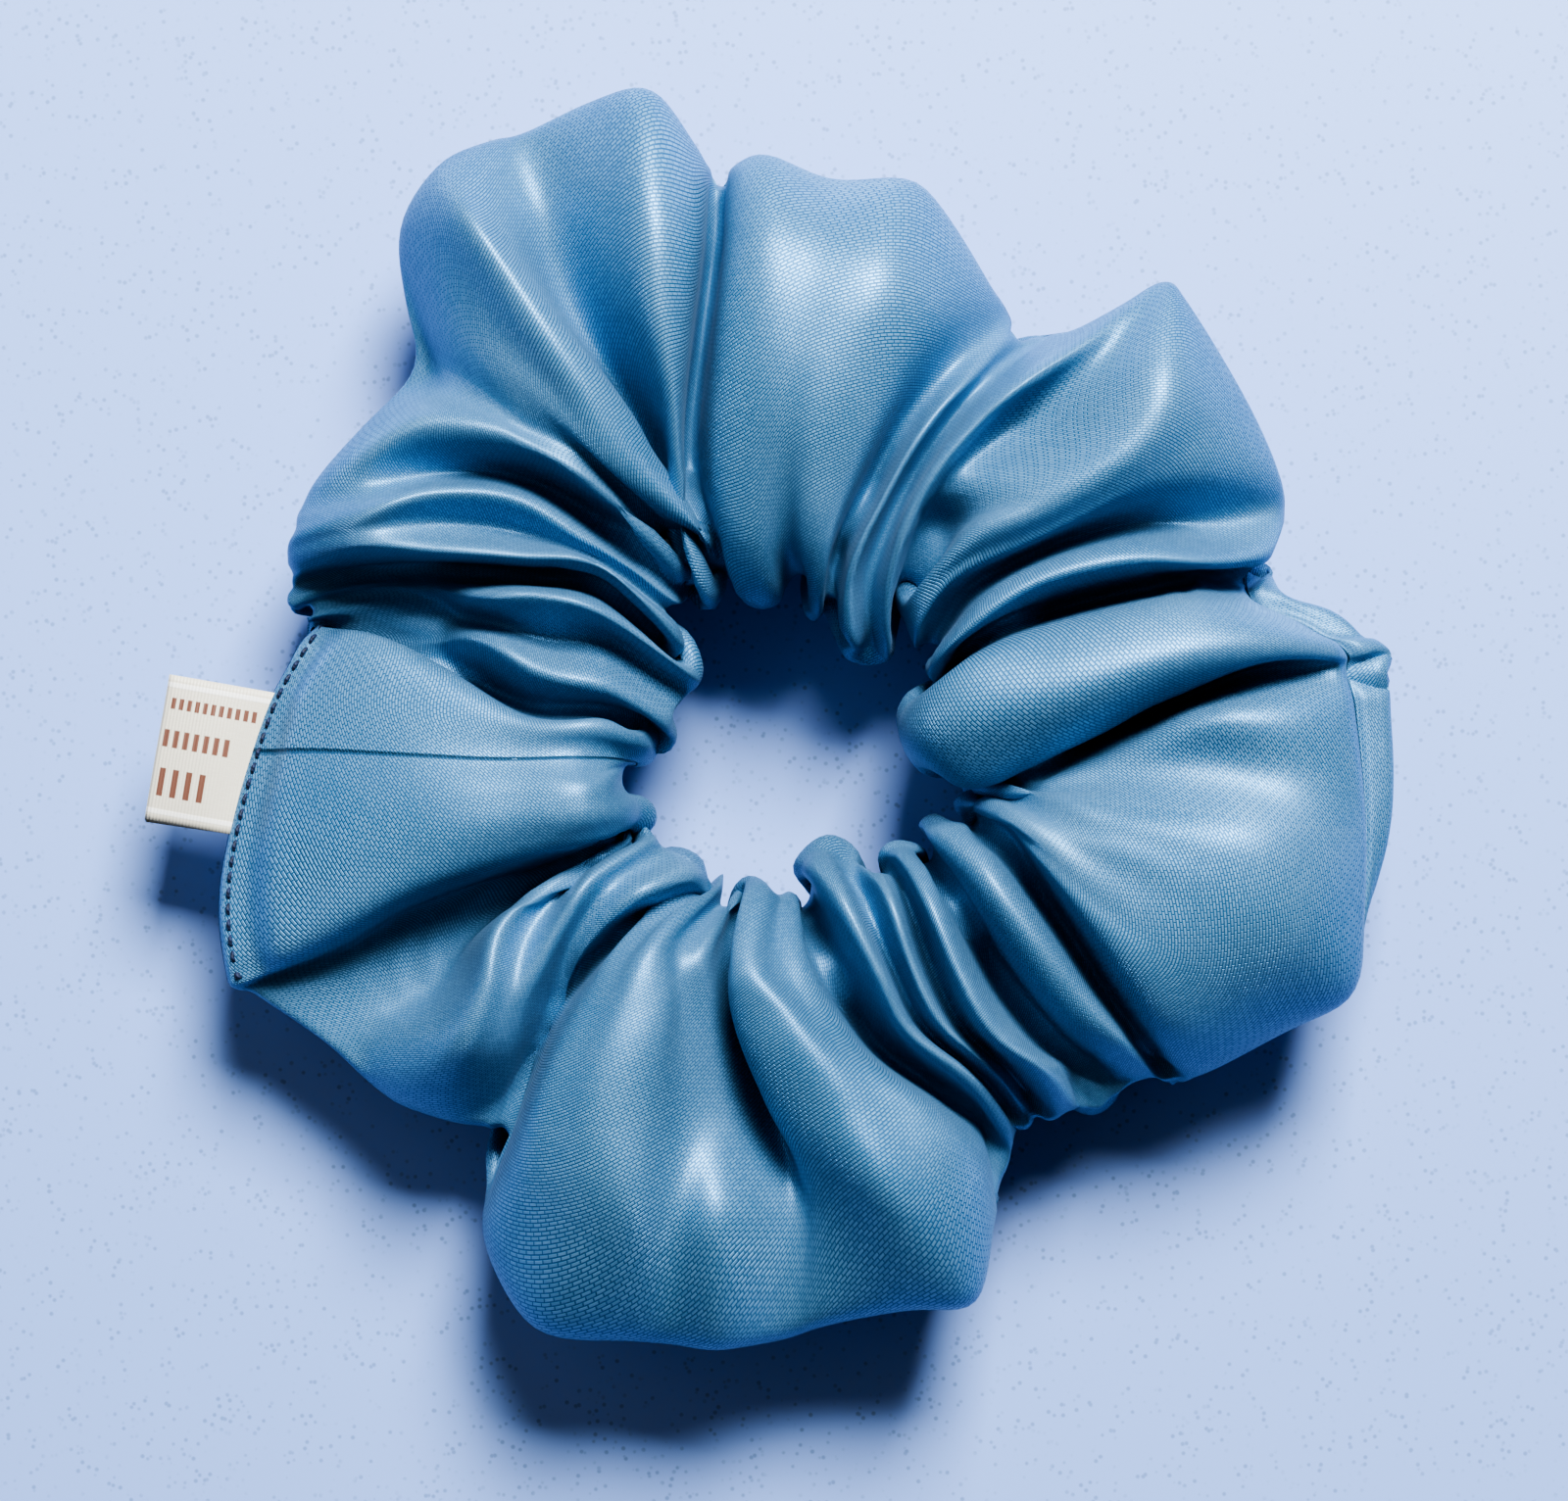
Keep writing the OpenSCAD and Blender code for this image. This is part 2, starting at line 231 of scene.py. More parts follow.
    crest("pleat_four_edge", (13, -9.5, 2), (17, -14.5, 9), (22, -22, 10),
          (27, -28.5, 8), (31, -32.5, 4), (33, -35.5, -5)),
    crest("pleat_four", (15.5, -8.5, 3), (19, -13, 12), (24, -19.5, 13),
          (28.5, -25.5, 11), (33, -31, 8), (36, -34.5, -3)),
    furrow("under_right", (18, -8, -1), (22, -12, 2), (27, -19, 2),
           (31.5, -26, 2), (35, -31, 2), (38, -34.5, -5)),
    crest("right_low_edge", (18, -7, 1), (22, -9.5, 9), (27.5, -16.5, 12),
          (33.5, -24.5, 12.5), (38, -30.5, 9), (41.5, -34.2, -1)),
    crest("right_low_facet", (18.3, -6.5, 1), (22.5, -8.6, 10), (30, -16, 13.5),
          (39, -23, 14), (45.5, -28, 9), (50, -29.8, 0)),
    crest("right_corner", (18.6, -6.1, 1), (23, -7.7, 10), (31.5, -12.5, 14),
          (42, -17.5, 15.5), (51, -22, 13), (57.4, -26.4, 3)),
    crest("right_low", (18.8, -5.6, 0), (23.4, -6.9, 9.5), (32.5, -10, 14),
          (44, -13.5, 16), (52.5, -16.5, 14), (58.6, -18.5, 6)),
]
# How much further out the under layer bulges than the seam, where the seam shows from above
BELLY = {
    "right_low": 0.8,
    "right_panel": 2.4,
    "right_panel_rise": 3.0,
    "right_panel_top": 3.3,
    "right_crease": 3.4,
    "roll_under": 3.4,
    "roll_ridge": 3.8,
    "roll_middle": 3.8,
    "roll_upper": 3.2,
    "roll_gap": 1.0,
}


@dataclass
class Cloth:
    """The strip of satin: its cut size, and the grid that stands for it."""

    length: float = 550.0
    width: float = 98.0
    columns: int = 304
    rows: int = 64
    thick: float = 0.35
    allowance: float = 4.0

    @property
    def step_s(self) -> float:
        """Cloth between two columns of the grid."""
        return self.length / self.columns

    @property
    def step_v(self) -> float:
        """Cloth between two rows of the grid."""
        return self.width / self.rows


def through(knots: np.ndarray, values: np.ndarray, at: np.ndarray) -> np.ndarray:
    """A smooth closed curve through values.

    Args:
        knots: rising positions of the values, in 0 to 1.
        values: one value or array of values for each knot.
        at: positions to read, in 0 to 1.

    Returns:
        The curve's values at those positions.
    """
    count = len(knots)
    here = (np.searchsorted(knots, at, side="right") - 1) % count
    after = (here + 1) % count
    spans = np.diff(np.concatenate([knots, [knots[0] + 1]]))
    shape = (...,) + (None,) * (values.ndim - 1)
    t = (((at - knots[here]) % 1.0) / spans[here])[shape]
    slopes = (np.roll(values, -1, 0) - np.roll(values, 1, 0)) / (
        spans + np.roll(spans, 1)
    )[shape]
    span = spans[here][shape]
    return (
        (2 * t**3 - 3 * t**2 + 1) * values[here]
        + (t**3 - 2 * t**2 + t) * span * slopes[here]
        + (3 * t**2 - 2 * t**3) * values[after]
        + (t**3 - t**2) * span * slopes[after]
    )


def turned(grid: np.ndarray) -> np.ndarray:
    """The grid with its rows and columns changed over."""
    return np.ascontiguousarray(grid.transpose(1, 0, 2))


class Pull(Enum):
    """Which way a thread between two points acts."""

    BOTH = 0
    SHORTEN = -1
    LENGTHEN = 1


def draw_together(
    a: np.ndarray,
    b: np.ndarray,
    rest: float,
    stiff: float | np.ndarray,
    pull: Pull,
) -> None:
    """Moves each pair of points part of the way to its rest distance, in place.

    Args:
        a: the first point of each pair.
        b: the second point of each pair.
        rest: their distance at rest.
        stiff: how much of the way they move.
        pull: whether the pairs shorten, lengthen or do both.
    """
    d = b - a
    size = np.sqrt(np.einsum("ijk,ijk->ij", d, d)) + TINY
    share = (size - rest) / size * stiff
    if pull is Pull.LENGTHEN:
        share = np.minimum(share, 0)
    elif pull is Pull.SHORTEN:
        share = np.maximum(share, 0)
    d *= share[..., None] * 0.5
    a += d
    b -= d


def along(
    grid: np.ndarray,
    step: int,
    rest: float,
    stiff: float | np.ndarray,
    pull: Pull,
) -> None:
    """Treats every pair of points that are step columns apart, half of them at a time.

    Args:
        grid: the cloth, changed in place.
        step: how many columns apart the points of a pair are.
        rest: their distance at rest.
        stiff: how much of the way they move, for all pairs or for each first column.
        pull: whether the pairs shorten, lengthen or do both.
    """
    columns, rows = grid.shape[:2]
    blocks = grid.reshape(columns // (2 * step), 2, step, rows, 3)
    each = np.broadcast_to(np.asarray(stiff, float), (columns,)).reshape(-1, 2, step)
    for first, second, shift in ((0, 1, 0), (1, 0, -1)):
        share = each[:, first].reshape(-1, 1)
        a = blocks[:, first].reshape(-1, rows, 3).copy()
        b = np.roll(blocks[:, second], shift, 0).reshape(-1, rows, 3).copy()
        draw_together(a, b, rest, share, pull)
        blocks[:, first] = a.reshape(-1, step, rows, 3)
        blocks[:, second] = np.roll(b.reshape(-1, step, rows, 3), -shift, 0)


def across(grid: np.ndarray, rest: float, stiff: float, lean: int) -> None:
    """Treats every diagonal pair of points that leans one way, half of them at a time.

    Args:
        grid: the cloth, changed in place.
        rest: the distance of a pair at rest.
        stiff: how much of the way they move.
        lean: 1 or -1, the row that the second point lies in, from the first.
    """
    for first, second, shift in ((0, 1, 0), (1, 0, -1)):
        a = grid[first::2].copy()
        b = np.roll(np.roll(grid[second::2], shift, 0), -lean, 1).copy()
        draw_together(a, b, rest, stiff, Pull.BOTH)
        grid[first::2] = a
        grid[second::2] = np.roll(np.roll(b, lean, 1), -shift, 0)


class Contacts:
    """Points of the cloth that lie near each other but aren't neighbours in it."""

    def __init__(self, grid: np.ndarray, reach: float) -> None:
        """Finds the pairs.

        Args:
            grid: the cloth.
            reach: how near two points are, to be a pair.
        """
        columns, rows = grid.shape[:2]
        points = grid.reshape(-1, 3)
        cell = np.floor((points - points.min(0)) / reach).astype(np.int64) + 1
        size = cell.max(0) + 2
        key = (cell[:, 0] * size[1] + cell[:, 1]) * size[2] + cell[:, 2]
        order = np.argsort(key, kind="stable")
        ranked = key[order]
        place = np.arange(len(points))
        near_by = [
            (x * size[1] + y) * size[2] + z
            for x in (-1, 0, 1)
            for y in (-1, 0, 1)
            for z in (-1, 0, 1)
        ]
        firsts, seconds = [], []
        for offset in near_by:
            if offset < 0:
                continue
            low = np.searchsorted(ranked, ranked + offset, side="left")
            high = np.searchsorted(ranked, ranked + offset, side="right")
            if offset == 0:
                low = np.maximum(low, place + 1)
            for turn in range(int((high - low).max())):
                some = high - low > turn
                firsts.append(order[place[some]])
                seconds.append(order[low[some] + turn])
        a, b = np.concatenate(firsts), np.concatenate(seconds)
        d = points[a] - points[b]
        s = np.abs(a // rows - b // rows)
        v = np.abs(a % rows - b % rows)
        apart = (np.minimum(s, columns - s) > 2) | (np.minimum(v, rows - v) > 2)
        keep = apart & (np.einsum("ij,ij->i", d, d) < reach * reach)
        self.a, self.b = a[keep], b[keep]

    def part(self, grid: np.ndarray, gap: float) -> None:
        """Moves pairs that are too near apart.

        Args:
            grid: the cloth, changed in place.
            gap: the least distance of a pair.
        """
        points = grid.reshape(-1, 3)
        d = points[self.a] - points[self.b]
        squared = np.einsum("ij,ij->i", d, d)
        close = squared < gap * gap
        a, b, size = self.a[close], self.b[close], np.sqrt(squared[close]) + TINY
        move = d[close] * ((gap - size) / size * 0.5)[:, None]
        total = len(points)
        met = np.bincount(a, minlength=total) + np.bincount(b, minlength=total)
        share = np.minimum(1.0, 1.6 / np.maximum(met, 1))
        for axis in range(3):
            forth = np.bincount(a, move[:, axis], total)
            back = np.bincount(b, move[:, axis], total)
            points[:, axis] += (forth - back) * share


def refined(grid: np.ndarray) -> np.ndarray:
    """Refines the closed grid, smooth but for the crease of the seam.

    Args:
        grid: the cloth.

    Returns:
        A grid with twice the columns and rows.
    """
    for axis in (0, 1):
        ahead = np.roll(grid, -1, axis)
        shape = list(grid.shape)
        shape[axis] *= 2
        finer = np.empty(shape)
        even, odd = [slice(None)] * 3, [slice(None)] * 3
        even[axis], odd[axis] = slice(0, None, 2), slice(1, None, 2)
        finer[tuple(even)] = (np.roll(grid, 1, axis) + 6 * grid + ahead) / 8
        finer[tuple(odd)] = (grid + ahead) / 2
        if axis:
            seam = grid.shape[1] // 2
            finer[:, 2 * seam] = grid[:, seam]
        grid = finer
    return grid


def outward(grid: np.ndarray) -> np.ndarray:
    """Finds which way the cloth faces.

    Args:
        grid: the closed grid.

    Returns:
        A unit normal for each point, out of the tube.
    """
    n = np.cross(
        np.roll(grid, -1, 1) - np.roll(grid, 1, 1),
        np.roll(grid, -1, 0) - np.roll(grid, 1, 0),
    )
    return n / (np.linalg.norm(n, axis=2, keepdims=True) + 1e-12)


def mesh_piece(
    name: str,
    points: np.ndarray,
    faces: list,
    uvs: np.ndarray | None = None,
) -> bpy.types.Object:
    """Makes an object of a mesh.

    Args:
        name: the piece's name.
        points: its vertices, in millimetres.
        faces: lists of vertex numbers.
        uvs: a UV for each corner of each face, in order, or None.

    Returns:
        The object, linked to the scene, with smooth faces.
    """
    mesh = bpy.data.meshes.new(name)
    mesh.from_pydata((np.asarray(points) * MM).tolist(), [], faces)
    if uvs is not None:
        layer = mesh.uv_layers.new(name="cloth")
        layer.data.foreach_set("uv", np.asarray(uvs, np.float32).ravel())
    mesh.validate()
    mesh.polygons.foreach_set("use_smooth", [True] * len(mesh.polygons))
    piece = bpy.data.objects.new(name, mesh)
    bpy.context.scene.collection.objects.link(piece)
    return piece


class Nodes:
    """A short hand for building one material's nodes."""

    def __init__(self, name: str) -> None:
        """Starts a material with one Principled shader.

        Args:
            name: the material's name.
        """
        self.material = bpy.data.materials.new(name)
        self.material.use_nodes = True
        self.tree = self.material.node_tree
        self.shader = self.tree.nodes["Principled BSDF"]

    def add(
        self,
        kind: str,
        settings: dict | None = None,
        inputs: dict | None = None,
    ) -> bpy.types.Node:
        """Adds a node.

        Args:
            kind: the node's type, such as ShaderNodeTexNoise.
            settings: values for its own properties.
            inputs: values for its sockets; a socket of another node is linked.

        Returns:
            The node.
        """
        node = self.tree.nodes.new(kind)
        for key, value in (settings or {}).items():
            setattr(node, key, value)
        for key, value in (inputs or {}).items():
            self.put(node.inputs[key], value)
        return node

    def put(self, socket: bpy.types.NodeSocket, value: Value) -> None:
        """Links a socket to another, or sets its value."""
        if isinstance(value, bpy.types.NodeSocket):
            self.tree.links.new(value, socket)
        else:
            socket.default_value = value

    def math(self, operation: str, *values: Value) -> bpy.types.NodeSocket:
        """Adds a Math node.

        Args:
            operation: what it does, such as MULTIPLY.
            values: what it acts on, in order.

        Returns:
            Its result.
        """
        node = self.add("ShaderNodeMath", {"operation": operation})
        for index, value in enumerate(values):
            self.put(node.inputs[index], value)
        return node.outputs[0]

    def off(self, value: Value, middle: Value) -> bpy.types.NodeSocket:
        """How far a value is from a middle."""
        return self.math("ABSOLUTE", self.math("SUBTRACT", value, middle))

    def mix(self, share: Value, low: Value, high: Value) -> bpy.types.NodeSocket:
        """Mixes two colours.

        Args:
            share: how much of the second, in 0 to 1.
            low: the first colour.
            high: the second colour.

        Returns:
            The mixed colour.
        """
        node = self.add("ShaderNodeMix", {"data_type": "RGBA"})
        self.put(node.inputs["Factor"], share)
        self.put(node.inputs["A"], low)
        self.put(node.inputs["B"], high)
        return node.outputs["Result"]

    def band(self, value: Value, low: float, high: float) -> bpy.types.NodeSocket:
        """Turns a value into a soft step.

        Args:
            value: what is read.
            low: where the step starts.
            high: where the step ends.

        Returns:
            0 below low, 1 above high, and smooth between.
        """
        node = self.add(
            "ShaderNodeMapRange",
            {"interpolation_type": "SMOOTHSTEP"},
            {"Value": value, "From Min": low, "From Max": high},
        )
        return node.outputs["Result"]

    def below(self, value: Value, low: float, high: float) -> bpy.types.NodeSocket:
        """1 below low, 0 above high, and smooth between."""
        return self.math("SUBTRACT", 1.0, self.band(value, low, high))

    def on_cloth(self, scale: tuple, turn: float = 0.0) -> bpy.types.NodeSocket:
        """Reads the piece's own UV.

        Args:
            scale: how much it is scaled, along, across and out.
            turn: how far it is then turned, in radians.

        Returns:
            The place on the cloth.
        """
        uv = self.add("ShaderNodeUVMap", {"uv_map": "cloth"}).outputs["UV"]
        inputs = {"Vector": uv, "Scale": scale, "Rotation": (0.0, 0.0, turn)}
        return self.add("ShaderNodeMapping", None, inputs).outputs["Vector"]

    def in_place(self) -> bpy.types.NodeSocket:
        """Object coordinates, in metres."""
        return self.add("ShaderNodeTexCoord").outputs["Object"]

    def noise(self, place: Value, scale: float, detail: float) -> bpy.types.NodeSocket:
        """Adds a noise pattern.

        Args:
            place: where it is read.
            scale: how fine it is.
            detail: how many finer layers it has.

        Returns:
            Its value, in 0 to 1.
        """
        inputs = {"Vector": place, "Scale": scale, "Detail": detail}
        return self.add("ShaderNodeTexNoise", None, inputs).outputs["Fac"]

    def shade(self, **values: Value) -> None:
        """Sets the shader's sockets; an underscore in a name stands for a space."""
        for key, value in values.items():
            self.put(self.shader.inputs[key.replace("_", " ")], value)

    def bump(
        self,
        height: Value,
        strength: float,
        distance: float,
        under: bpy.types.NodeSocket | None = None,
    ) -> bpy.types.NodeSocket:
        """Adds a Bump node.

        Args:
            height: the height that it reads.
            strength: how strong it is, in 0 to 1.
            distance: how high a height of 1 stands, in metres.
            under: the normal that it starts from, or None for the mesh's own.

        Returns:
            Its normal.
        """
        inputs = {"Height": height, "Strength": strength, "Distance": distance}
        if under is not None:
            inputs["Normal"] = under
        return self.add("ShaderNodeBump", None, inputs).outputs["Normal"]


@dataclass(frozen=True)
class SatinFinish:
    """Polyester satin: smooth floats with fine staggered dashes, and a soft sheen.

    The shares are how much of its tone comes from the weave, from uneven threads, and from
    broad clouds. The lean is how far the weave is turned on the strip, in radians.
    """

    light: tuple = (0.205, 0.400, 0.600, 1.0)
    dark: tuple = (0.035, 0.135, 0.270, 1.0)
    # Painted shade: the darker colour laid in the crease of the lengthwise and cross seams
    seam: tuple = (0.030, 0.095, 0.180, 1.0)
    roughness: float = 0.49
    dash: float = 0.72
    pick: float = 0.30
    lean: float = 0.55
    seam_width: float = 0.35
    shares: tuple = (0.55, 0.07, 0.38)

    def material(self, cloth: Cloth, cross_at: float) -> bpy.types.Material:
        """Builds the satin.

        Args:
            cloth: the strip, which gives the weave its scale.
            cross_at: where the cross seam lies along the strip, in 0 to 1.

        Returns:
            The material.
        """
        n = Nodes("satin")
        mm = n.on_cloth((cloth.length, cloth.width, 1.0), self.lean)
        weave = n.add(
            "ShaderNodeTexBrick",
            {"offset": 0.37, "offset_frequency": 2},
            {
                "Vector": mm,
                "Color1": (1, 1, 1, 1),
                "Color2": (0.66, 0.66, 0.66, 1),
                "Mortar": (0, 0, 0, 1),
                "Scale": 1.0,
                "Mortar Size": 0.07,
                "Mortar Smooth": 0.6,
                "Brick Width": self.dash,
                "Row Height": self.pick,
            },
        ).outputs["Color"]
        slub = n.noise(n.on_cloth((cloth.length * 0.35, cloth.width * 2.2, 1.0)), 1.0, 3.0)
        cloud = n.noise(n.on_cloth((cloth.length * 0.05, cloth.width * 0.05, 1.0)), 1.0, 2.0)
        apart = n.add("ShaderNodeSeparateXYZ", None, {"Vector": n.on_cloth((1.0, 1.0, 1.0))})
        from_seam = n.math("MULTIPLY", n.off(apart.outputs["Y"], 0.5), cloth.width)
        from_cross = n.math("MULTIPLY", n.off(apart.outputs["X"], cross_at), cloth.length)
        # Mask of the seams' crease: it drives the crease's bump and its painted shade
        seam_groove_shade = n.band(n.math("MINIMUM", from_seam, from_cross), 0.0, self.seam_width)
        weave_share, slub_share, cloud_share = self.shares
        uneven = n.math(
            "ADD", n.math("MULTIPLY", slub, slub_share), n.math("MULTIPLY", cloud, cloud_share)
        )
        tone = n.math("ADD", n.math("MULTIPLY", weave, weave_share), uneven)
        cloth_colour = n.mix(n.band(tone, 0.1, 1.0), self.dark, self.light)
        n.shade(
            Base_Color=n.mix(seam_groove_shade, self.seam, cloth_colour),
            Roughness=n.math("ADD", self.roughness - 0.05, n.math("MULTIPLY", slub, 0.12)),
            Metallic=0.45,
            Specular_IOR_Level=0.35,
            Anisotropic=0.3,
            Sheen_Weight=0.06,
            Sheen_Roughness=0.35,
            Sheen_Tint=(0.62, 0.80, 1.0, 1.0),
        )
        fine = n.bump(weave, 0.8, 0.00010)
        soft = n.bump(slub, 0.03, 0.00030, fine)
        n.shade(Normal=n.bump(seam_groove_shade, 0.8, 0.0004, soft))
        return n.material


@dataclass(frozen=True)
class ThreadFinish:
    """Spun sewing thread with two plies."""

    name: str
    colour: tuple
    shade_colour: tuple

    def material(self) -> bpy.types.Material:
        """Builds the thread, with its plies as slanting bands.

        Returns:
            The material.
        """
        n = Nodes(self.name)
        ply = n.add(
            "ShaderNodeTexWave",
            {"wave_type": "BANDS", "bands_direction": "DIAGONAL"},
            {"Vector": n.in_place(), "Scale": 1050.0, "Distortion": 1.5, "Detail": 2.0},
        ).outputs["Fac"]
        n.shade(
            Base_Color=n.mix(ply, self.shade_colour, self.colour),
            Roughness=0.62,
            Sheen_Weight=0.06,
            Normal=n.bump(ply, 0.5, 0.00008),
        )
        return n.material


@dataclass(frozen=True)
class RibbonFinish:
    """Woven cream ribbon with fine ribs, a pale woven line inside each edge, and brown marks."""

    cream: tuple = (0.74, 0.69, 0.57, 1.0)
    white: tuple = (0.92, 0.90, 0.85, 1.0)
    shade_colour: tuple = (0.52, 0.47, 0.37, 1.0)
    brown: tuple = (0.150, 0.032, 0.010, 1.0)
    selvedge: float = 1.0
    bleed: float = 0.06

    def material(self, width: float, run: float) -> bpy.types.Material:
        """Builds the ribbon.

        Args:
            width: across the ribbon, which is the V of its UV.
            run: along the ribbon, which is the U of its UV.

        Returns:
            The material.
        """
        n = Nodes("ribbon")
        mm = n.on_cloth((run, width, 1.0))
        ribs = n.add(
            "ShaderNodeTexWave",
            {"wave_type": "BANDS", "bands_direction": "X"},
            {"Vector": mm, "Scale": 0.9, "Distortion": 0.25, "Detail": 1.0},
        ).outputs["Fac"]
        fibre = n.noise(n.on_cloth((run * 0.8, width * 7.0, 1.0)), 1.0, 2.0)
        parts = n.add("ShaderNodeSeparateXYZ", None, {"Vector": mm})
        x, y = parts.outputs["X"], parts.outputs["Y"]
        half = width / 2
        from_middle = n.off(y, half)
        line = n.math(
            "MULTIPLY",
            n.band(from_middle, half - self.selvedge - 0.35, half - self.selvedge - 0.15),
            n.below(from_middle, half - self.selvedge + 0.15, half - self.selvedge + 0.35),
        )
        cloth = n.mix(n.math("MULTIPLY", fibre, 0.55), self.cream, self.shade_colour)
        cloth = n.mix(n.math("MULTIPLY", line, 0.85), cloth, self.white)
        ink = None
        for row_at, tall, start, stop, pitch, fill in self.marks(width):
            near = n.below(n.off(y, row_at), tall / 2 - self.bleed, tall / 2 + self.bleed)
            inside = n.math(
                "MULTIPLY",
                n.band(x, start - self.bleed, start + self.bleed),
                n.below(x, stop - self.bleed, stop + self.bleed),
            )
            beat = n.math("FRACT", n.math("DIVIDE", n.math("SUBTRACT", x, start), pitch))
            solid = n.below(beat, fill - 0.06, fill + 0.02)
            mark = n.math("MULTIPLY", n.math("MULTIPLY", near, inside), solid)
            ink = mark if ink is None else n.math("MAXIMUM", ink, mark)
        n.shade(
            Base_Color=n.mix(n.math("MULTIPLY", ink, 0.92), cloth, self.brown),
            Roughness=0.48,
            Sheen_Weight=0.3,
            Normal=n.bump(n.math("ADD", ribs, n.math("MULTIPLY", line, 0.6)), 0.35, 0.00012),
        )
        return n.material

    def marks(self, width: float) -> list:
        """Lays out the rows of plain printed bars on the face.

        Args:
            width: across the ribbon.

        Returns:
            Each row's place across, height, start, stop and pitch, and the filled share of
            its pitch.
        """
        return [
            (width * 0.81, 1.15, 3.4, 12.6, 0.84, 0.58),
            (width * 0.57, 1.80, 5.6, 12.5, 1.05, 0.55),
            (width * 0.27, 2.90, 7.4, 12.4, 1.40, 0.48),
        ]


@dataclass(frozen=True)
class ElasticFinish:
    """White braided flat elastic."""

    white: tuple = (0.84, 0.84, 0.81, 1.0)
    # Painted shade for the braid's low places
    braid_recess_shade: tuple = (0.55, 0.55, 0.54, 1.0)

    def material(self) -> bpy.types.Material:
        """Builds the braid, as crossing ribs, with painted shade where they lie low.

        Returns:
            The material.
        """
        n = Nodes("elastic")
        place = n.in_place()
        braid = n.add(
            "ShaderNodeTexWave",
            {"wave_type": "BANDS", "bands_direction": "Z"},
            {"Vector": place, "Scale": 210.0, "Distortion": 3.0, "Detail": 1.0, "Detail Scale": 4.0},
        ).outputs["Fac"]
        cells = n.add("ShaderNodeTexVoronoi", None, {"Vector": place, "Scale": 1400.0})
        knit = cells.outputs["Distance"]
        height = n.math("ADD", braid, n.math("MULTIPLY", knit, 0.5))
        n.shade(
            Base_Color=n.mix(n.math("MULTIPLY", height, 0.7), self.braid_recess_shade, self.white),
            Roughness=0.8,
            Normal=n.bump(height, 0.6, 0.0002),
        )
        return n.material


@dataclass(frozen=True)
class Bend:
    """How near points some cells apart may come, as a share of the cloth between them."""

    apart: int
    least_along: float
    least_across: float
    stiff: float


BENDS = (Bend(2, 0.97, 0.85, 0.25), Bend(4, 0.84, 0.72, 0.12))


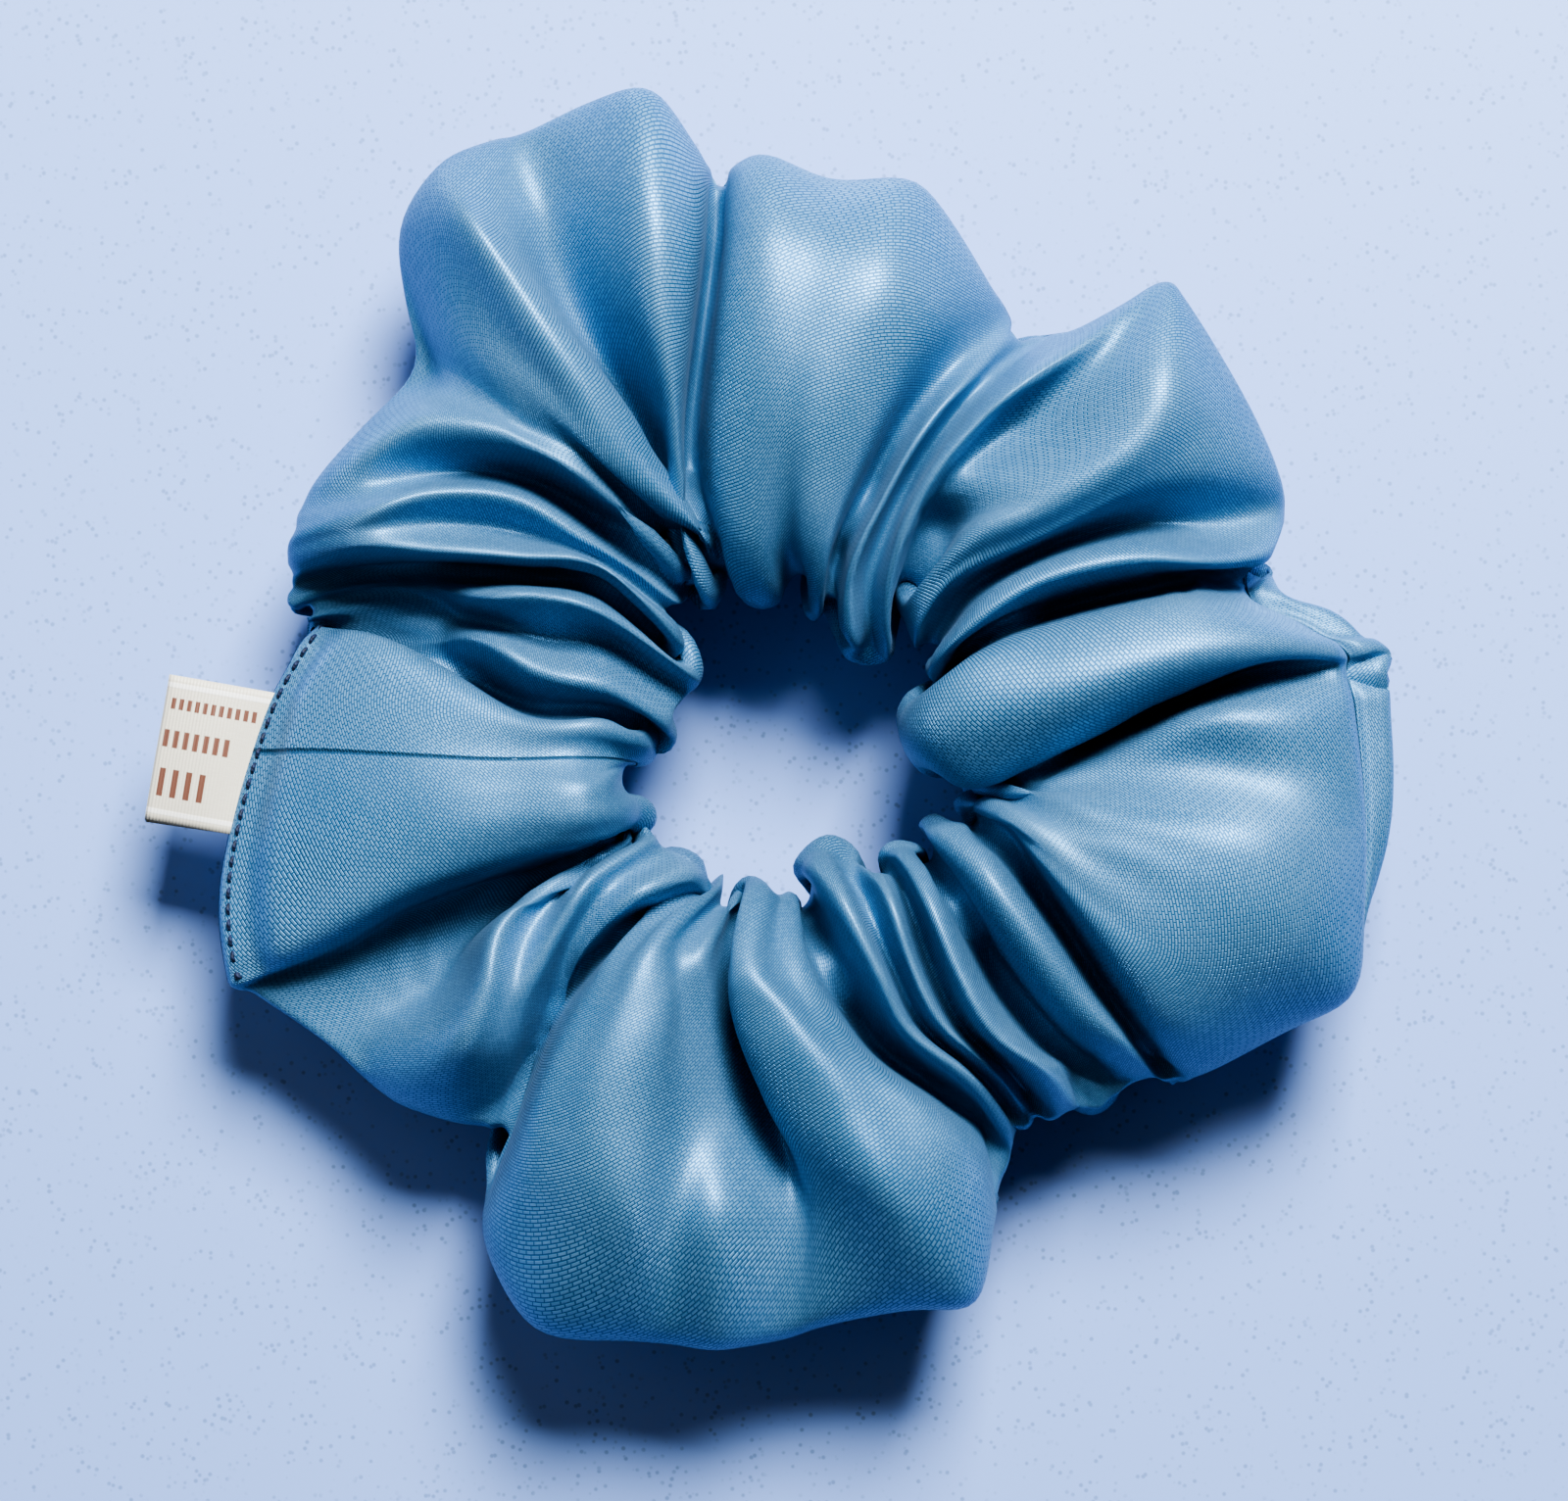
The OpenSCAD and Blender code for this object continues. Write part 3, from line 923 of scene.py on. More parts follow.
@dataclass
class SatinCasing:
    """The gathered tube of satin.

    The holds are how strongly the cloth is kept to its folds: as it starts and ends, by the
    elastic, at the seam's rim, and where the under layer bulges past the seam.
    """

    cloth: Cloth = field(default_factory=Cloth)
    finish: SatinFinish = field(default_factory=SatinFinish)
    elastic_r: float = 24.0
    elastic_core: float = 4.1
    gap: float = 2.0
    steps: int = 60
    evenness: float = 0.1
    hold_start: float = 0.9
    hold_end: float = 0.85
    hold_inside: float = 0.75
    hold_rim: float = 0.8
    hold_belly: float = 0.6
    draw_in: float = 0.9
    press: float = 0.5
    press_across: float = 0.05
    shear: float = 0.12
    drag: float = 0.85
    fastest: float = 0.8
    rounds: int = 10
    closed_from: float = 166.5
    closed_to: float = 203.5
    cross_angle: float = 180.8
    grid: np.ndarray | None = None
    fine: np.ndarray | None = None
    normals: np.ndarray | None = None
    bellied: np.ndarray | None = None

    def folds(self) -> np.ndarray:
        """Lays the cloth over its folds, before it finds its own lengths.

        Returns:
            The grid of the folded tube, closed both ways.
        """
        rng = np.random.default_rng(3)
        top = np.array([line[2] for line in FOLDS], float)
        top[..., :2] *= (1 - top[..., 2:] / EYE)
        ridge = np.array([line[1] for line in FOLDS])
        count = len(top)
        under = top[:, 4:0:-1].copy()
        low = np.where(ridge[:, None] > 0, -15.0, -5.0) * np.array([0.72, 1.0, 1.0, 0.85])
        under[..., 2] = np.minimum(low, under[..., 2] - 5.0).clip(FLOOR_Z + 0.6)
        under[..., :2] *= 1 + rng.uniform(-0.02, 0.02, (count, 1, 1))
        for index, line in enumerate(FOLDS):
            more = BELLY.get(line[0], 0.0)
            if more:
                seam = top[index, 5]
                under[index, 0, :2] = seam[:2] * (1 + more / np.hypot(*seam[:2]))
                under[index, 0, 2] = seam[2] - 6.0
        ring = np.concatenate([top, under], 1)
        share = np.linalg.norm(np.roll(ring, -1, 0) - ring, axis=2)[:, 1:6].mean(1)
        log.info("folds: mean length %.0f mm", share.sum())
        share = (share / share.sum() + self.evenness / count) / (1 + self.evenness)
        knots = np.concatenate([[0], np.cumsum(share)[:-1]])
        at = (np.arange(self.cloth.columns) + 0.5) / self.cloth.columns
        ring = through(knots, ring, at)
        stations = ring.shape[1]
        rows = np.arange(self.cloth.rows) / self.cloth.rows
        goal = turned(through(np.arange(stations) / stations, turned(ring), rows))
        side = np.hypot(goal[..., 0], goal[..., 1]) - self.elastic_r
        clear = np.sqrt(np.clip((self.elastic_core + 0.4) ** 2 - side**2, 0, None))
        over = np.where(rows < 0.5, 1.0, -1.0)[None, :]
        inner_edge = np.minimum(rows, 1 - rows)[None, :] < 0.03
        lifted = over * np.maximum(over * goal[..., 2], clear)
        goal[..., 2] = np.where(inner_edge, goal[..., 2], lifted)
        belly = np.array([BELLY.get(line[0], 0.0) for line in FOLDS])
        self.bellied = through(knots, belly, at)
        return goal

    def clear_elastic(self, grid: np.ndarray) -> None:
        """Keeps the cloth outside the elastic.

        Args:
            grid: the cloth, changed in place.
        """
        out = np.hypot(grid[..., 0], grid[..., 1])
        side, up = out - self.elastic_r, grid[..., 2]
        away = np.hypot(side, up) + TINY
        push = np.maximum(self.elastic_core - away, 0) / away
        grid[..., :2] *= (1 + side * push / out)[..., None]
        grid[..., 2] += up * push

    def sew_closed(self, grid: np.ndarray, zone: np.ndarray) -> None:
        """Holds the two layers together along the topstitched edge.

        Args:
            grid: the cloth, changed in place.
            zone: which columns are topstitched.
        """
        seam = self.cloth.rows // 2
        for rows_in, most in ((1, 1.2), (2, 1.4), (3, 3.6)):
            above, below = grid[zone, seam - rows_in], grid[zone, seam + rows_in]
            middle, half = (above + below) / 2, (above - below) / 2
            size = np.linalg.norm(half, axis=1, keepdims=True) + TINY
            half *= np.minimum(1.0, most / 2 / size)
            grid[zone, seam - rows_in] = middle + half
            grid[zone, seam + rows_in] = middle - half

    def creased(self, step: int) -> np.ndarray:
        """1 for each row whose pair lies on one side of the seam, and 0 across it."""
        first, seam = np.arange(self.cloth.rows), self.cloth.rows // 2
        return np.where((first < seam) & (first + step > seam), 0.0, 1.0)

    def true_up(self, grid: np.ndarray) -> np.ndarray:
        """Brings the cloth nearer its own lengths, and keeps its folds round.

        Args:
            grid: the cloth.

        Returns:
            The cloth after one round.
        """
        cloth = self.cloth
        diagonal = math.hypot(cloth.step_s, cloth.step_v)
        along(grid, 1, cloth.step_s, self.draw_in, Pull.SHORTEN)
        along(grid, 1, cloth.step_s, self.press, Pull.LENGTHEN)
        flipped = turned(grid)
        along(flipped, 1, cloth.step_v, self.draw_in, Pull.SHORTEN)
        along(flipped, 1, cloth.step_v, self.press_across, Pull.LENGTHEN)
        grid = turned(flipped)
        across(grid, diagonal, self.shear, 1)
        across(grid, diagonal, self.shear, -1)
        for bend in BENDS:
            least = bend.apart * cloth.step_s * bend.least_along
            along(grid, bend.apart, least, bend.stiff, Pull.LENGTHEN)
        flipped = turned(grid)
        for bend in BENDS:
            least = bend.apart * cloth.step_v * bend.least_across
            stiff = bend.stiff * self.creased(bend.apart)
            along(flipped, bend.apart, least, stiff, Pull.LENGTHEN)
        return turned(flipped)

    def holds(self) -> tuple:
        """Works out how strongly each part of the cloth is kept to its folds.

        Returns:
            A share of the step's hold for each row, and the least hold for each point.
        """
        row = np.arange(self.cloth.rows) / self.cloth.rows
        outness = np.minimum(row, 1 - row) * 2
        body = np.clip((outness - 0.12) / 0.25, 0, 1)
        held = np.where(row <= 0.5, 1.0, 0.1) * (self.hold_inside + (1 - self.hold_inside) * body)
        rim = np.clip((outness - 0.86) / 0.14, 0, 1)
        near_seam = np.where(row > 0.5, np.clip((0.72 - row) / 0.08, 0, 1), 0.0)
        belly = np.clip(self.bellied / 2.5, 0, 1)[:, None] * near_seam[None, :]
        return held, np.maximum((self.hold_rim * rim)[None, :], self.hold_belly * belly)

    def relax(self) -> None:
        """Gathers the cloth: lengths, bending, contact with itself, the elastic and the table."""
        cloth = self.cloth
        goal = self.folds()
        grid = goal.copy()
        speed = np.zeros_like(grid)
        held, least = self.holds()
        seam = cloth.rows // 2
        way = np.degrees(np.arctan2(goal[:, seam, 1], goal[:, seam, 0])) % 360
        zone = (way > self.closed_from) & (way < self.closed_to)
        steps = self.steps
        for step in range(steps):
            done = step / max(steps - 1, 1)
            hold = (self.hold_start - self.hold_end) * (1 - done) ** 2 + self.hold_end
            before = grid.copy()
            grid += speed * self.drag
            if step % 5 == 0:
                contacts = Contacts(grid, self.gap + 1.5)
            for turn in range(self.rounds):
                grid = self.true_up(grid)
                if turn % 3 == 2:
                    contacts.part(grid, self.gap)
                    self.clear_elastic(grid)
                np.maximum(grid[..., 2], FLOOR_Z + cloth.thick, out=grid[..., 2])
            grid += (goal - grid) * np.maximum(hold * held, least)[..., None]
            contacts.part(grid, self.gap)
            self.clear_elastic(grid)
            self.sew_closed(grid, zone)
            speed = grid - before
            size = np.linalg.norm(speed, axis=2, keepdims=True)
            speed *= np.minimum(1, self.fastest / np.maximum(size, TINY))
        self.grid = grid
        self.fine = refined(grid)
        self.normals = outward(self.fine)
        log.info(
            "cloth: length %.3f, width %.3f of the cut",
            float(np.linalg.norm(np.roll(grid, -1, 0) - grid, axis=2).mean() / cloth.step_s),
            float(np.linalg.norm(np.roll(grid, -1, 1) - grid, axis=2).mean() / cloth.step_v),
        )

    def at(self, s: np.ndarray, v: np.ndarray) -> tuple:
        """Reads the finished surface.

        Args:
            s: places along the strip, in 0 to 1.
            v: places round the tube, in 0 to 1.

        Returns:
            The points and the outward normals there.
        """
        columns, rows = self.fine.shape[:2]
        a, b = (np.asarray(s) % 1) * columns, (np.asarray(v) % 1) * rows
        i, j = np.floor(a).astype(int), np.floor(b).astype(int)
        fa, fb = (a - i)[..., None], (b - j)[..., None]
        i, j, after_i, after_j = i % columns, j % rows, (i + 1) % columns, (j + 1) % rows
        found = []
        for values in (self.fine, self.normals):
            near = values[i, j] * (1 - fb) + values[i, after_j] * fb
            far = values[after_i, j] * (1 - fb) + values[after_i, after_j] * fb
            found.append(near * (1 - fa) + far * fa)
        found[1] /= np.linalg.norm(found[1], axis=-1, keepdims=True)
        return tuple(found)

    def strip_at(self, degrees: float) -> float:
        """Finds where along the strip the outer seam lies in a direction.

        Args:
            degrees: the direction about the middle.

        Returns:
            The place, in 0 to 1.
        """
        seam = self.fine[:, self.fine.shape[1] // 2]
        way = np.degrees(np.arctan2(seam[:, 1], seam[:, 0]))
        off = (way - degrees + 180) % 360 - 180
        return float(np.abs(off).argmin() / len(seam))

    def build(self) -> bpy.types.Object:
        """Makes the casing as one closed sheet with its own thickness, and dresses it.

        Returns:
            The piece.
        """
        self.relax()
        inside = (self.fine - self.normals * self.cloth.thick)[::2, ::2]
        points, faces, uvs, total = [], [], [], 0
        for layer, way in ((self.fine, 1), (inside, -1)):
            columns, rows = layer.shape[:2]
            cells = np.meshgrid(np.arange(columns), np.arange(rows), indexing="ij")
            i, j = (part.ravel() for part in cells)
            square = np.array([(0, 0), (0, 1), (1, 1), (1, 0)][::way])
            at_i, at_j = i[:, None] + square[:, 0], j[:, None] + square[:, 1]
            faces.append(total + at_i % columns * rows + at_j % rows)
            uvs.append(np.stack([at_i / columns, at_j / rows], -1))
            points.append(layer.reshape(-1, 3))
            total += columns * rows
        faces, uvs = np.concatenate(faces), np.concatenate(uvs)
        piece = mesh_piece("satin_casing", np.concatenate(points), faces.tolist(), uvs)
        piece.data.materials.append(self.finish.material(self.cloth, self.strip_at(self.cross_angle)))
        log.info("satin_casing: %d faces", len(piece.data.polygons))
        return piece


@dataclass
class StitchRun:
    """A row of sewn stitches that lies on the casing."""

    name: str
    finish: ThreadFinish
    thread: float = 0.44
    sides: int = 8
    rings: int = 7

    def model(self) -> tuple:
        """Models one stitch as a straight round thread, cut into rings.

        Returns:
            Its points, with x along the stitch from 0 to 1, and its faces.
        """
        bpy.ops.object.select_all(action="DESELECT")
        bpy.ops.mesh.primitive_cylinder_add(
            vertices=self.sides,
            radius=1.0,
            depth=1.0,
            location=(0.5, 0, 0),
            rotation=(0, math.pi / 2, 0),
        )
        thread = bpy.context.object
        bpy.ops.object.transform_apply(location=True, rotation=True, scale=True)
        bpy.ops.object.mode_set(mode="EDIT")
        for ring in range(1, self.rings - 1):
            bpy.ops.mesh.select_all(action="SELECT")
            bpy.ops.mesh.bisect(plane_co=(ring / (self.rings - 1), 0, 0), plane_no=(1, 0, 0))
        bpy.ops.object.mode_set(mode="OBJECT")
        points = np.array([vertex.co for vertex in thread.data.vertices])
        faces = [list(face.vertices) for face in thread.data.polygons]
        bpy.data.meshes.remove(thread.data)
        return points, faces

    def sewn(
        self,
        model: np.ndarray,
        start: np.ndarray,
        stop: np.ndarray,
        up: np.ndarray,
        arch: float,
    ) -> np.ndarray:
        """Copies the modelled stitch, arched, and narrowed where it sinks in.

        Args:
            model: the modelled stitch's points.
            start: where the copy starts.
            stop: where it ends.
            up: out of the cloth.
            arch: how high it stands.

        Returns:
            The copy's points.
        """
        run = stop - start
        side = np.cross(up, run)
        side /= np.linalg.norm(side) + 1e-9
        t = model[:, :1]
        rise = np.sin(t.clip(0, 1) * math.pi).clip(0)
        radius = self.thread / 2 * np.maximum(rise**0.35, 0.25)
        middle = start + run * t + up * (rise**0.6 * arch - arch * 0.55)
        return middle + side * model[:, 1:2] * radius + up * model[:, 2:] * radius

    def build(self, runs: list) -> bpy.types.Object:
        """Makes all the stitches as one piece.

        Args:
            runs: (start, stop, up, arch) for each stitch, in millimetres.

        Returns:
            The piece.
        """
        model, model_faces = self.model()
        points = np.concatenate([self.sewn(model, *run) for run in runs])
        starts = [copy * len(model) for copy in range(len(runs))]
        faces = [[k + start for k in face] for start in starts for face in model_faces]
        piece = mesh_piece(self.name, points, faces)
        piece.data.materials.append(self.finish.material())
        log.info("%s: %d stitches", self.name, len(runs))
        return piece


@dataclass
class Sewing:
    """All the thread that holds the casing."""

    casing: SatinCasing
    edge_in: float = 2.1
    top_pitch: float = 1.62
    top_length: float = 1.5
    seam_pitch: float = 2.6
    seam_length: float = 2.1
    blue: ThreadFinish = ThreadFinish("blue_thread", (0.10, 0.26, 0.42, 1.0), (0.045, 0.13, 0.23, 1.0))
    navy: ThreadFinish = ThreadFinish("navy_thread", (0.012, 0.022, 0.070, 1.0), (0.004, 0.008, 0.028, 1.0))

    def row(
        self,
        s: np.ndarray,
        v: np.ndarray,
        pitch: float,
        length: float,
        arch: float,
        sunk: float = 0.0,
    ) -> list:
        """Sets out stitches of one length along a path on the cloth.

        Args:
            s: the path's places along the strip, in 0 to 1.
            v: its places round the tube, in 0 to 1.
            pitch: from the start of one stitch to the next.
            length: of one stitch.
            arch: how high it stands.
            sunk: how deep the path lies in the cloth.

        Returns:
            (start, stop, up, arch) for each stitch.
        """
        points, ups = self.casing.at(s, v)
        points = points - ups * sunk
        gone = np.concatenate([[0], np.cumsum(np.linalg.norm(np.diff(points, axis=0), axis=1))])
        runs = []
        for first in np.arange(0, gone[-1] - length, pitch):
            start, stop = (
                np.array([np.interp(first + more, gone, points[:, k]) for k in range(3)])
                for more in (0, length)
            )
            up = np.array([np.interp(first + length / 2, gone, ups[:, k]) for k in range(3)])
            runs.append((start, stop, up / np.linalg.norm(up), arch))
        return runs

    def closing(self) -> bpy.types.Object:
        """Makes the visible navy topstitching along the closed edge, with its knot.

        Returns:
            The piece.
        """
        cloth = self.casing.cloth
        first = self.casing.strip_at(self.casing.closed_from + 1.0)
        last = self.casing.strip_at(self.casing.closed_to - 1.0)
        s = np.linspace(first, last, 200)
        v = np.full_like(s, 0.5 - self.edge_in / cloth.width)
        runs = self.row(s, v, self.top_pitch, self.top_length, 0.55)
        lower = self.row(s, 1 - v, self.top_pitch, self.top_length, 0.30)
        end, up = self.casing.at(s[-1:], v[-1:])
        along_edge = runs[-1][1] - runs[-1][0]
        along_edge /= np.linalg.norm(along_edge)
        for lean in (-0.5, 0.2, 0.8):
            side = np.cross(up[0], along_edge)
            way = along_edge * 0.7 + side * lean
            runs.append((end[0] - way * 0.5, end[0] + way * 0.6, up[0], 0.5))
        return StitchRun("closing_topstitch", self.navy).build(runs + lower)

    def lengthwise(self) -> bpy.types.Object:
        """Makes the seam along the outside of the tube, sunk in its fold.

        Returns:
            The piece.
        """
        first = self.casing.strip_at(self.casing.closed_to)
        last = self.casing.strip_at(self.casing.closed_from) + 1.0
        s = np.linspace(first, last, 2400)
        runs = self.row(s, np.full_like(s, 0.5), self.seam_pitch, self.seam_length, 0.02, 0.34)
        return StitchRun("lengthwise_seam", self.blue, 0.30, 6, 5).build(runs)

    def crosswise(self) -> bpy.types.Object:
        """Makes the seam that joins the two ends of the strip.

        Returns:
            The piece.
        """
        s_at = self.casing.strip_at(self.casing.cross_angle)
        runs = []
        for low, high in ((0.06, 0.47), (0.53, 0.94)):
            v = np.linspace(low, high, 200)
            s = np.full_like(v, s_at)
            runs += self.row(s, v, self.seam_pitch, self.seam_length, 0.02, 0.12)
        return StitchRun("crosswise_seam", self.blue, 0.26, 6, 5).build(runs)


@dataclass
class ElasticLoop:
    """The flat elastic inside the casing, lapped where its ends are sewn.

    The climb is where the second end rises over the first, as shares of the strip.
    """

    radius: float = 24.0
    width: float = 6.0
    thick: float = 1.0
    lap: float = 26.0
    climb_from: float = 0.87
    climb_over: float = 0.055
    clear: float = 0.05
    edge: float = 0.22
    segments: int = 180
    finish: ElasticFinish = field(default_factory=ElasticFinish)

    def build(self) -> bpy.types.Object:
        """Makes the loop as one strip whose second end climbs over its first.

        Returns:
            The piece.
        """
        first, turn = math.radians(180 + self.lap / 2), math.radians(360 + self.lap)
        bpy.ops.object.select_all(action="DESELECT")
        bpy.ops.mesh.primitive_plane_add(
            size=1.0,
            location=(self.radius * MM * math.cos(first), self.radius * MM * math.sin(first), 0),
            rotation=(math.pi / 2, 0, first),
        )
        piece = bpy.context.object
        piece.name = piece.data.name = "elastic_band"
        piece.scale = (self.thick * MM, self.width * MM, 1.0)
        bpy.ops.object.transform_apply(location=True, rotation=True, scale=True)
        bpy.ops.object.mode_set(mode="EDIT")
        bpy.ops.mesh.select_all(action="SELECT")
        bpy.ops.mesh.bevel(offset=self.edge * MM, segments=2, affect="VERTICES")
        bpy.ops.mesh.select_all(action="SELECT")
        bpy.ops.mesh.spin(steps=self.segments, angle=turn, center=(0, 0, 0), axis=(0, 0, 1))
        bpy.ops.mesh.select_all(action="DESELECT")
        bpy.ops.mesh.select_non_manifold()
        if any(edge.select for edge in bmesh.from_edit_mesh(piece.data).edges):
            bpy.ops.mesh.edge_face_add()
        bpy.ops.mesh.select_all(action="DESELECT")
        bpy.ops.object.mode_set(mode="OBJECT")
        points = np.array([vertex.co for vertex in piece.data.vertices])
        points = points.reshape(self.segments + 1, -1, 3)
        gone = np.linspace(0, 1, self.segments + 1)
        climb = np.clip((gone - self.climb_from) / self.climb_over, 0, 1)
        lift = climb * climb * (3 - 2 * climb) * (self.thick + self.clear) / self.radius
        points[..., :2] *= (1 + lift)[:, None, None]
        piece.data.vertices.foreach_set("co", points.ravel())
        mesh_outward(piece)
        bpy.ops.object.select_all(action="DESELECT")
        piece.select_set(True)
        bpy.ops.object.shade_smooth_by_angle(angle=math.radians(40))
        piece.data.materials.append(self.finish.material())
        log.info("elastic_band: %.0f mm long", turn * self.radius)
        return piece


@dataclass
class RibbonLabel:
    """The folded ribbon whose two ends are sewn into the closed edge."""

    width: float = 15.0
    out: float = 9.9
    tucked: float = 3.2
    gap: float = 0.55
    thick: float = 0.22
    angle: float = 170.0
    root: tuple = (-55.9, -2.4)
    sag: float = 1.0
    columns: int = 44
    rows: int = 24
    finish: RibbonFinish = field(default_factory=RibbonFinish)

    @property
    def cut(self) -> float:
        """Length of ribbon before it was folded."""
        return 2 * (self.out + self.tucked - self.gap / 2) + math.pi * self.gap / 2

    def seat(self, casing: SatinCasing, offsets: np.ndarray, ahead: np.ndarray) -> tuple:
        """Where the ribbon lies between the two layers of the closed edge.

        Args:
            casing: the gathered casing.
            offsets: places across the ribbon, from its middle line.
            ahead: places along the ribbon, out from its root.

        Returns:
            The seam's place along the ribbon for each place across, and the heights of the
            pocket for each place along and across.
        """
        way, side = self.axes
        columns, rows = casing.fine.shape[:2]
        seam = casing.fine[:, rows // 2]
        near = np.abs((np.degrees(np.arctan2(seam[:, 1], seam[:, 0])) % 360) - 180) < 25
        s = np.flatnonzero(near)
        across = (seam[s, :2] - self.root) @ side
        order = np.argsort(across)
        s_at = np.interp(offsets, across[order], s[order]) / columns
        edge, _ = casing.at(s_at, np.full_like(s_at, 0.5))
        out = (edge[:, :2] - self.root) @ way
        inward = np.clip(out[None, :] - ahead[:, None], 0, None) / casing.cloth.width
        s_at = np.broadcast_to(s_at, inward.shape)
        above, below = (casing.at(s_at, 0.5 + sign * inward)[0] for sign in (-1, 1))
        return out, (above + below)[..., 2] / 2

    @property
    def axes(self) -> tuple:
        """The directions in which the ribbon lies.

        Returns:
            The directions out along it and across it.
        """
        turn = math.radians(self.angle)
        way = np.array([math.cos(turn), math.sin(turn)])
        return way, np.array([way[1], -way[0]])

    def build(self, casing: SatinCasing) -> bpy.types.Object:
        """Makes the ribbon as a closed thin sheet, folded once, and dresses it.

        Args:
            casing: the gathered casing, whose closed edge holds the ribbon.

        Returns:
            The piece.
        """
        run = self.cut
        gone = np.linspace(0, run, self.columns)
        straight = self.out + self.tucked - self.gap / 2
        bend = math.pi * self.gap / 2
        turn = np.clip((gone - straight) / bend, 0, 1) * math.pi
        back = np.where(gone > straight + bend, run - gone, straight)
        ahead = np.where(gone < straight, gone, back) - self.tucked
        ahead = ahead + np.sin(turn) * self.gap / 2
        v = np.linspace(-1, 1, self.rows)
        way, side = self.axes
        edge_at, height = self.seat(casing, v * self.width / 2, ahead)
        free = np.clip(ahead[:, None] - edge_at[None, :], 0, None) / self.out
        opened = 0.5 + 0.5 * np.clip(free * 4, 0, 1)
        height = height + np.cos(turn)[:, None] * self.gap / 2 * opened - self.sag * free**1.5
        bulge = 0.5 * np.sin(np.clip(free, 0, 1) * math.pi) * (1 - v[None, :] ** 2)
        height = height + bulge + 0.35 * free * v[None, :]
        shift = np.where(turn < math.pi / 2, 0.0, 1.0)[:, None] * 0.35 * free
        flat = (
            np.array(self.root)
            + way * ahead[:, None, None]
            + side * ((v * self.width / 2)[None, :] - shift)[..., None]
        )
        sheet = np.concatenate([flat, height[..., None]], -1)
        ds = np.gradient(sheet, axis=0)
        dv = np.gradient(sheet, axis=1)
        n = np.cross(ds, dv)
        n /= np.linalg.norm(n, axis=2, keepdims=True)
        if n[2, self.rows // 2, 2] < 0:
            n = -n
        outer, inner = sheet + n * self.thick / 2, sheet - n * self.thick / 2
        total = self.columns * self.rows
        faces, uvs = [], []

        def corner(c: int, r: int) -> tuple:
            """The UV of a point of the sheet."""
            return (c / (self.columns - 1), r / (self.rows - 1))

        for c in range(self.columns - 1):
            for r in range(self.rows - 1):
                spots = [(c, r), (c + 1, r), (c + 1, r + 1), (c, r + 1)]
                faces.append([a * self.rows + b for a, b in spots])
                uvs += [corner(*spot) for spot in spots]
                faces.append([total + a * self.rows + b for a, b in reversed(spots)])
                uvs += [corner(*spot) for spot in reversed(spots)]
        edge = [(c, 0) for c in range(self.columns)]
        edge += [(self.columns - 1, r) for r in range(1, self.rows)]
        edge += [(c, self.rows - 1) for c in range(self.columns - 2, -1, -1)]
        edge += [(0, r) for r in range(self.rows - 2, 0, -1)]
        for a, b in zip(edge, edge[1:] + edge[:1]):
            i, j = a[0] * self.rows + a[1], b[0] * self.rows + b[1]
            faces.append([j, i, total + i, total + j])
            uvs += [corner(*b), corner(*a), corner(*a), corner(*b)]
        points = np.concatenate([outer.reshape(-1, 3), inner.reshape(-1, 3)])
        piece = mesh_piece("ribbon_label_fold", points, faces, np.array(uvs))
        mesh_outward(piece)
        piece.data.materials.append(self.finish.material(self.width, run))
        log.info("ribbon_label_fold: %.1f mm of ribbon", run)
        return piece


def mesh_outward(piece: bpy.types.Object) -> None:
    """Turns the faces of a closed piece outwards.

    Args:
        piece: the piece, changed in place.
    """
    bpy.ops.object.select_all(action="DESELECT")
    bpy.context.view_layer.objects.active = piece
    piece.select_set(True)
    bpy.ops.object.mode_set(mode="EDIT")
    bpy.ops.mesh.select_all(action="SELECT")
    bpy.ops.mesh.normals_make_consistent(inside=False)
    bpy.ops.mesh.select_all(action="DESELECT")
    bpy.ops.object.mode_set(mode="OBJECT")
    piece.select_set(False)


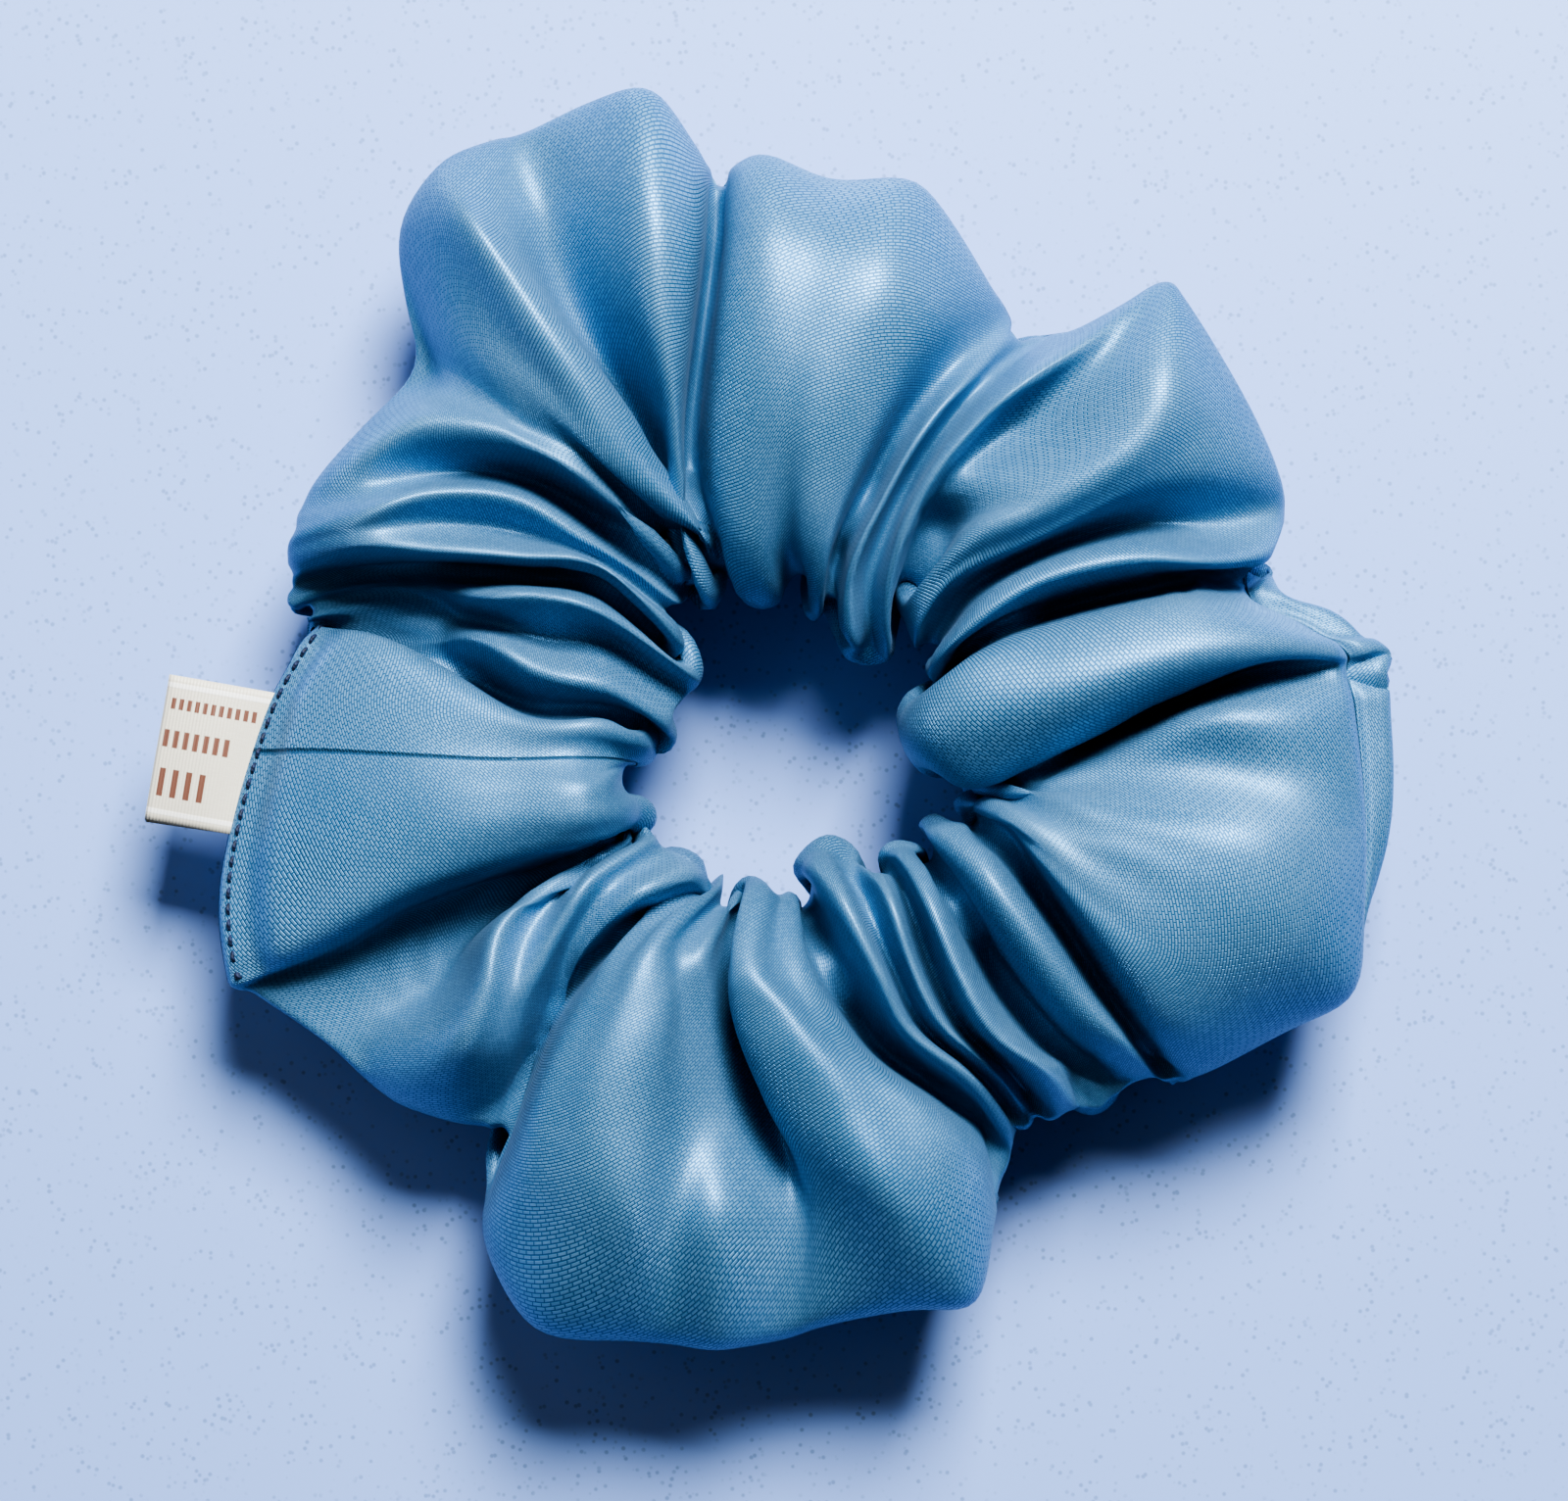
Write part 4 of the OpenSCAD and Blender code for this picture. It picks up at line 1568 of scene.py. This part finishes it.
@dataclass
class Studio:
    """The table, the lights and the camera."""

    floor: tuple = (0.28, 0.42, 0.80, 1.0)
    speck: tuple = (0.15, 0.23, 0.42, 1.0)
    distance: float = EYE * MM
    middle: tuple = (-0.0015, -0.0011)
    frame_width: float = 0.160

    def table(self) -> None:
        """Lays a plain pale table with the faintest fleck."""
        bpy.ops.object.select_all(action="DESELECT")
        bpy.ops.mesh.primitive_plane_add(size=3.0, location=(0, 0, FLOOR_Z * MM - 0.0002))
        table = bpy.context.object
        table.name = "table_top"
        n = Nodes("table")
        cells = n.add("ShaderNodeTexVoronoi", None, {"Vector": n.in_place(), "Scale": 1050.0})
        spread = n.noise(n.in_place(), 260.0, 2.0)
        fleck = n.math(
            "MULTIPLY", n.below(cells.outputs["Distance"], 0.12, 0.34), n.band(spread, 0.38, 0.58)
        )
        colour = n.mix(n.math("MULTIPLY", fleck, 0.7), self.floor, self.speck)
        n.shade(Base_Color=colour, Roughness=0.55)
        table.data.materials.append(n.material)

    def lamp(self, name: str, place: tuple, size: float, power: float, colour: tuple) -> None:
        """Hangs a square soft light that faces the middle of the scrunchie.

        Args:
            name: the light's name.
            place: where it hangs, in metres.
            size: its side, in metres.
            power: in watts.
            colour: of its light.
        """
        data = bpy.data.lights.new(name, "AREA")
        data.shape = "SQUARE"
        data.size = size
        data.energy = power
        data.color = colour
        lamp = bpy.data.objects.new(name, data)
        lamp.location = place
        bpy.context.scene.collection.objects.link(lamp)
        lamp.rotation_euler = (-Vector(place)).to_track_quat("-Z", "Y").to_euler()

    def build(self) -> None:
        """Sets the table, the lights, the sky and the camera."""
        self.table()
        self.lamp("window", (0.13, 0.47, 0.62), 0.30, 16.0, (0.94, 0.97, 1.0))
        self.lamp("fill", (-0.55, 0.20, 0.60), 0.8, 0.8, (0.84, 0.90, 1.0))
        world = bpy.data.worlds.new("room")
        world.use_nodes = True
        sky = world.node_tree.nodes["Background"]
        sky.inputs["Color"].default_value = (0.84, 0.89, 1.0, 1.0)
        sky.inputs["Strength"].default_value = 0.06
        bpy.context.scene.world = world
        bpy.context.scene.view_settings.look = "AgX - High Contrast"
        data = bpy.data.cameras.new("camera")
        data.sensor_width = 36.0
        data.lens = 36.0 * self.distance / self.frame_width
        camera = bpy.data.objects.new("camera", data)
        camera.location = (self.middle[0], self.middle[1], self.distance)
        bpy.context.scene.collection.objects.link(camera)
        bpy.context.scene.camera = camera


def stretch_with_casing(*pieces: bpy.types.Object) -> None:
    """Bakes each piece's transform into its mesh."""
    for piece in pieces:
        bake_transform(piece)


def main() -> None:
    """Builds the scrunchie, hides the imported parts that its pieces stand in for, dresses the join
    stitches, and sets the studio.
    """
    casing = SatinCasing()
    skin = casing.build()
    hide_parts("casing_held_half", "casing_pulled_half")
    elastic = ElasticLoop()
    band = elastic.build()
    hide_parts("elastic_held_half", "elastic_pulled_half")
    sewing = Sewing(casing)
    closing = sewing.closing()
    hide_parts("closing_stitches", "closing_backtack")
    lengthwise = sewing.lengthwise()
    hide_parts("long_seam_held_half", "long_seam_pulled_half")
    crosswise = sewing.crosswise()
    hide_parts("cross_seam_stitches")
    stretch_with_casing(skin, band, closing, lengthwise, crosswise)

    label = RibbonLabel()
    ribbon = label.build(casing)
    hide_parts("ribbon_label", "label_sewn_ends")
    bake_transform(ribbon)

    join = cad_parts["elastic_join_stitches"]
    join.data.materials.clear()
    join.data.materials.append(sewing.navy.material())

    Studio().build()


if __name__ == "__main__":
    main()
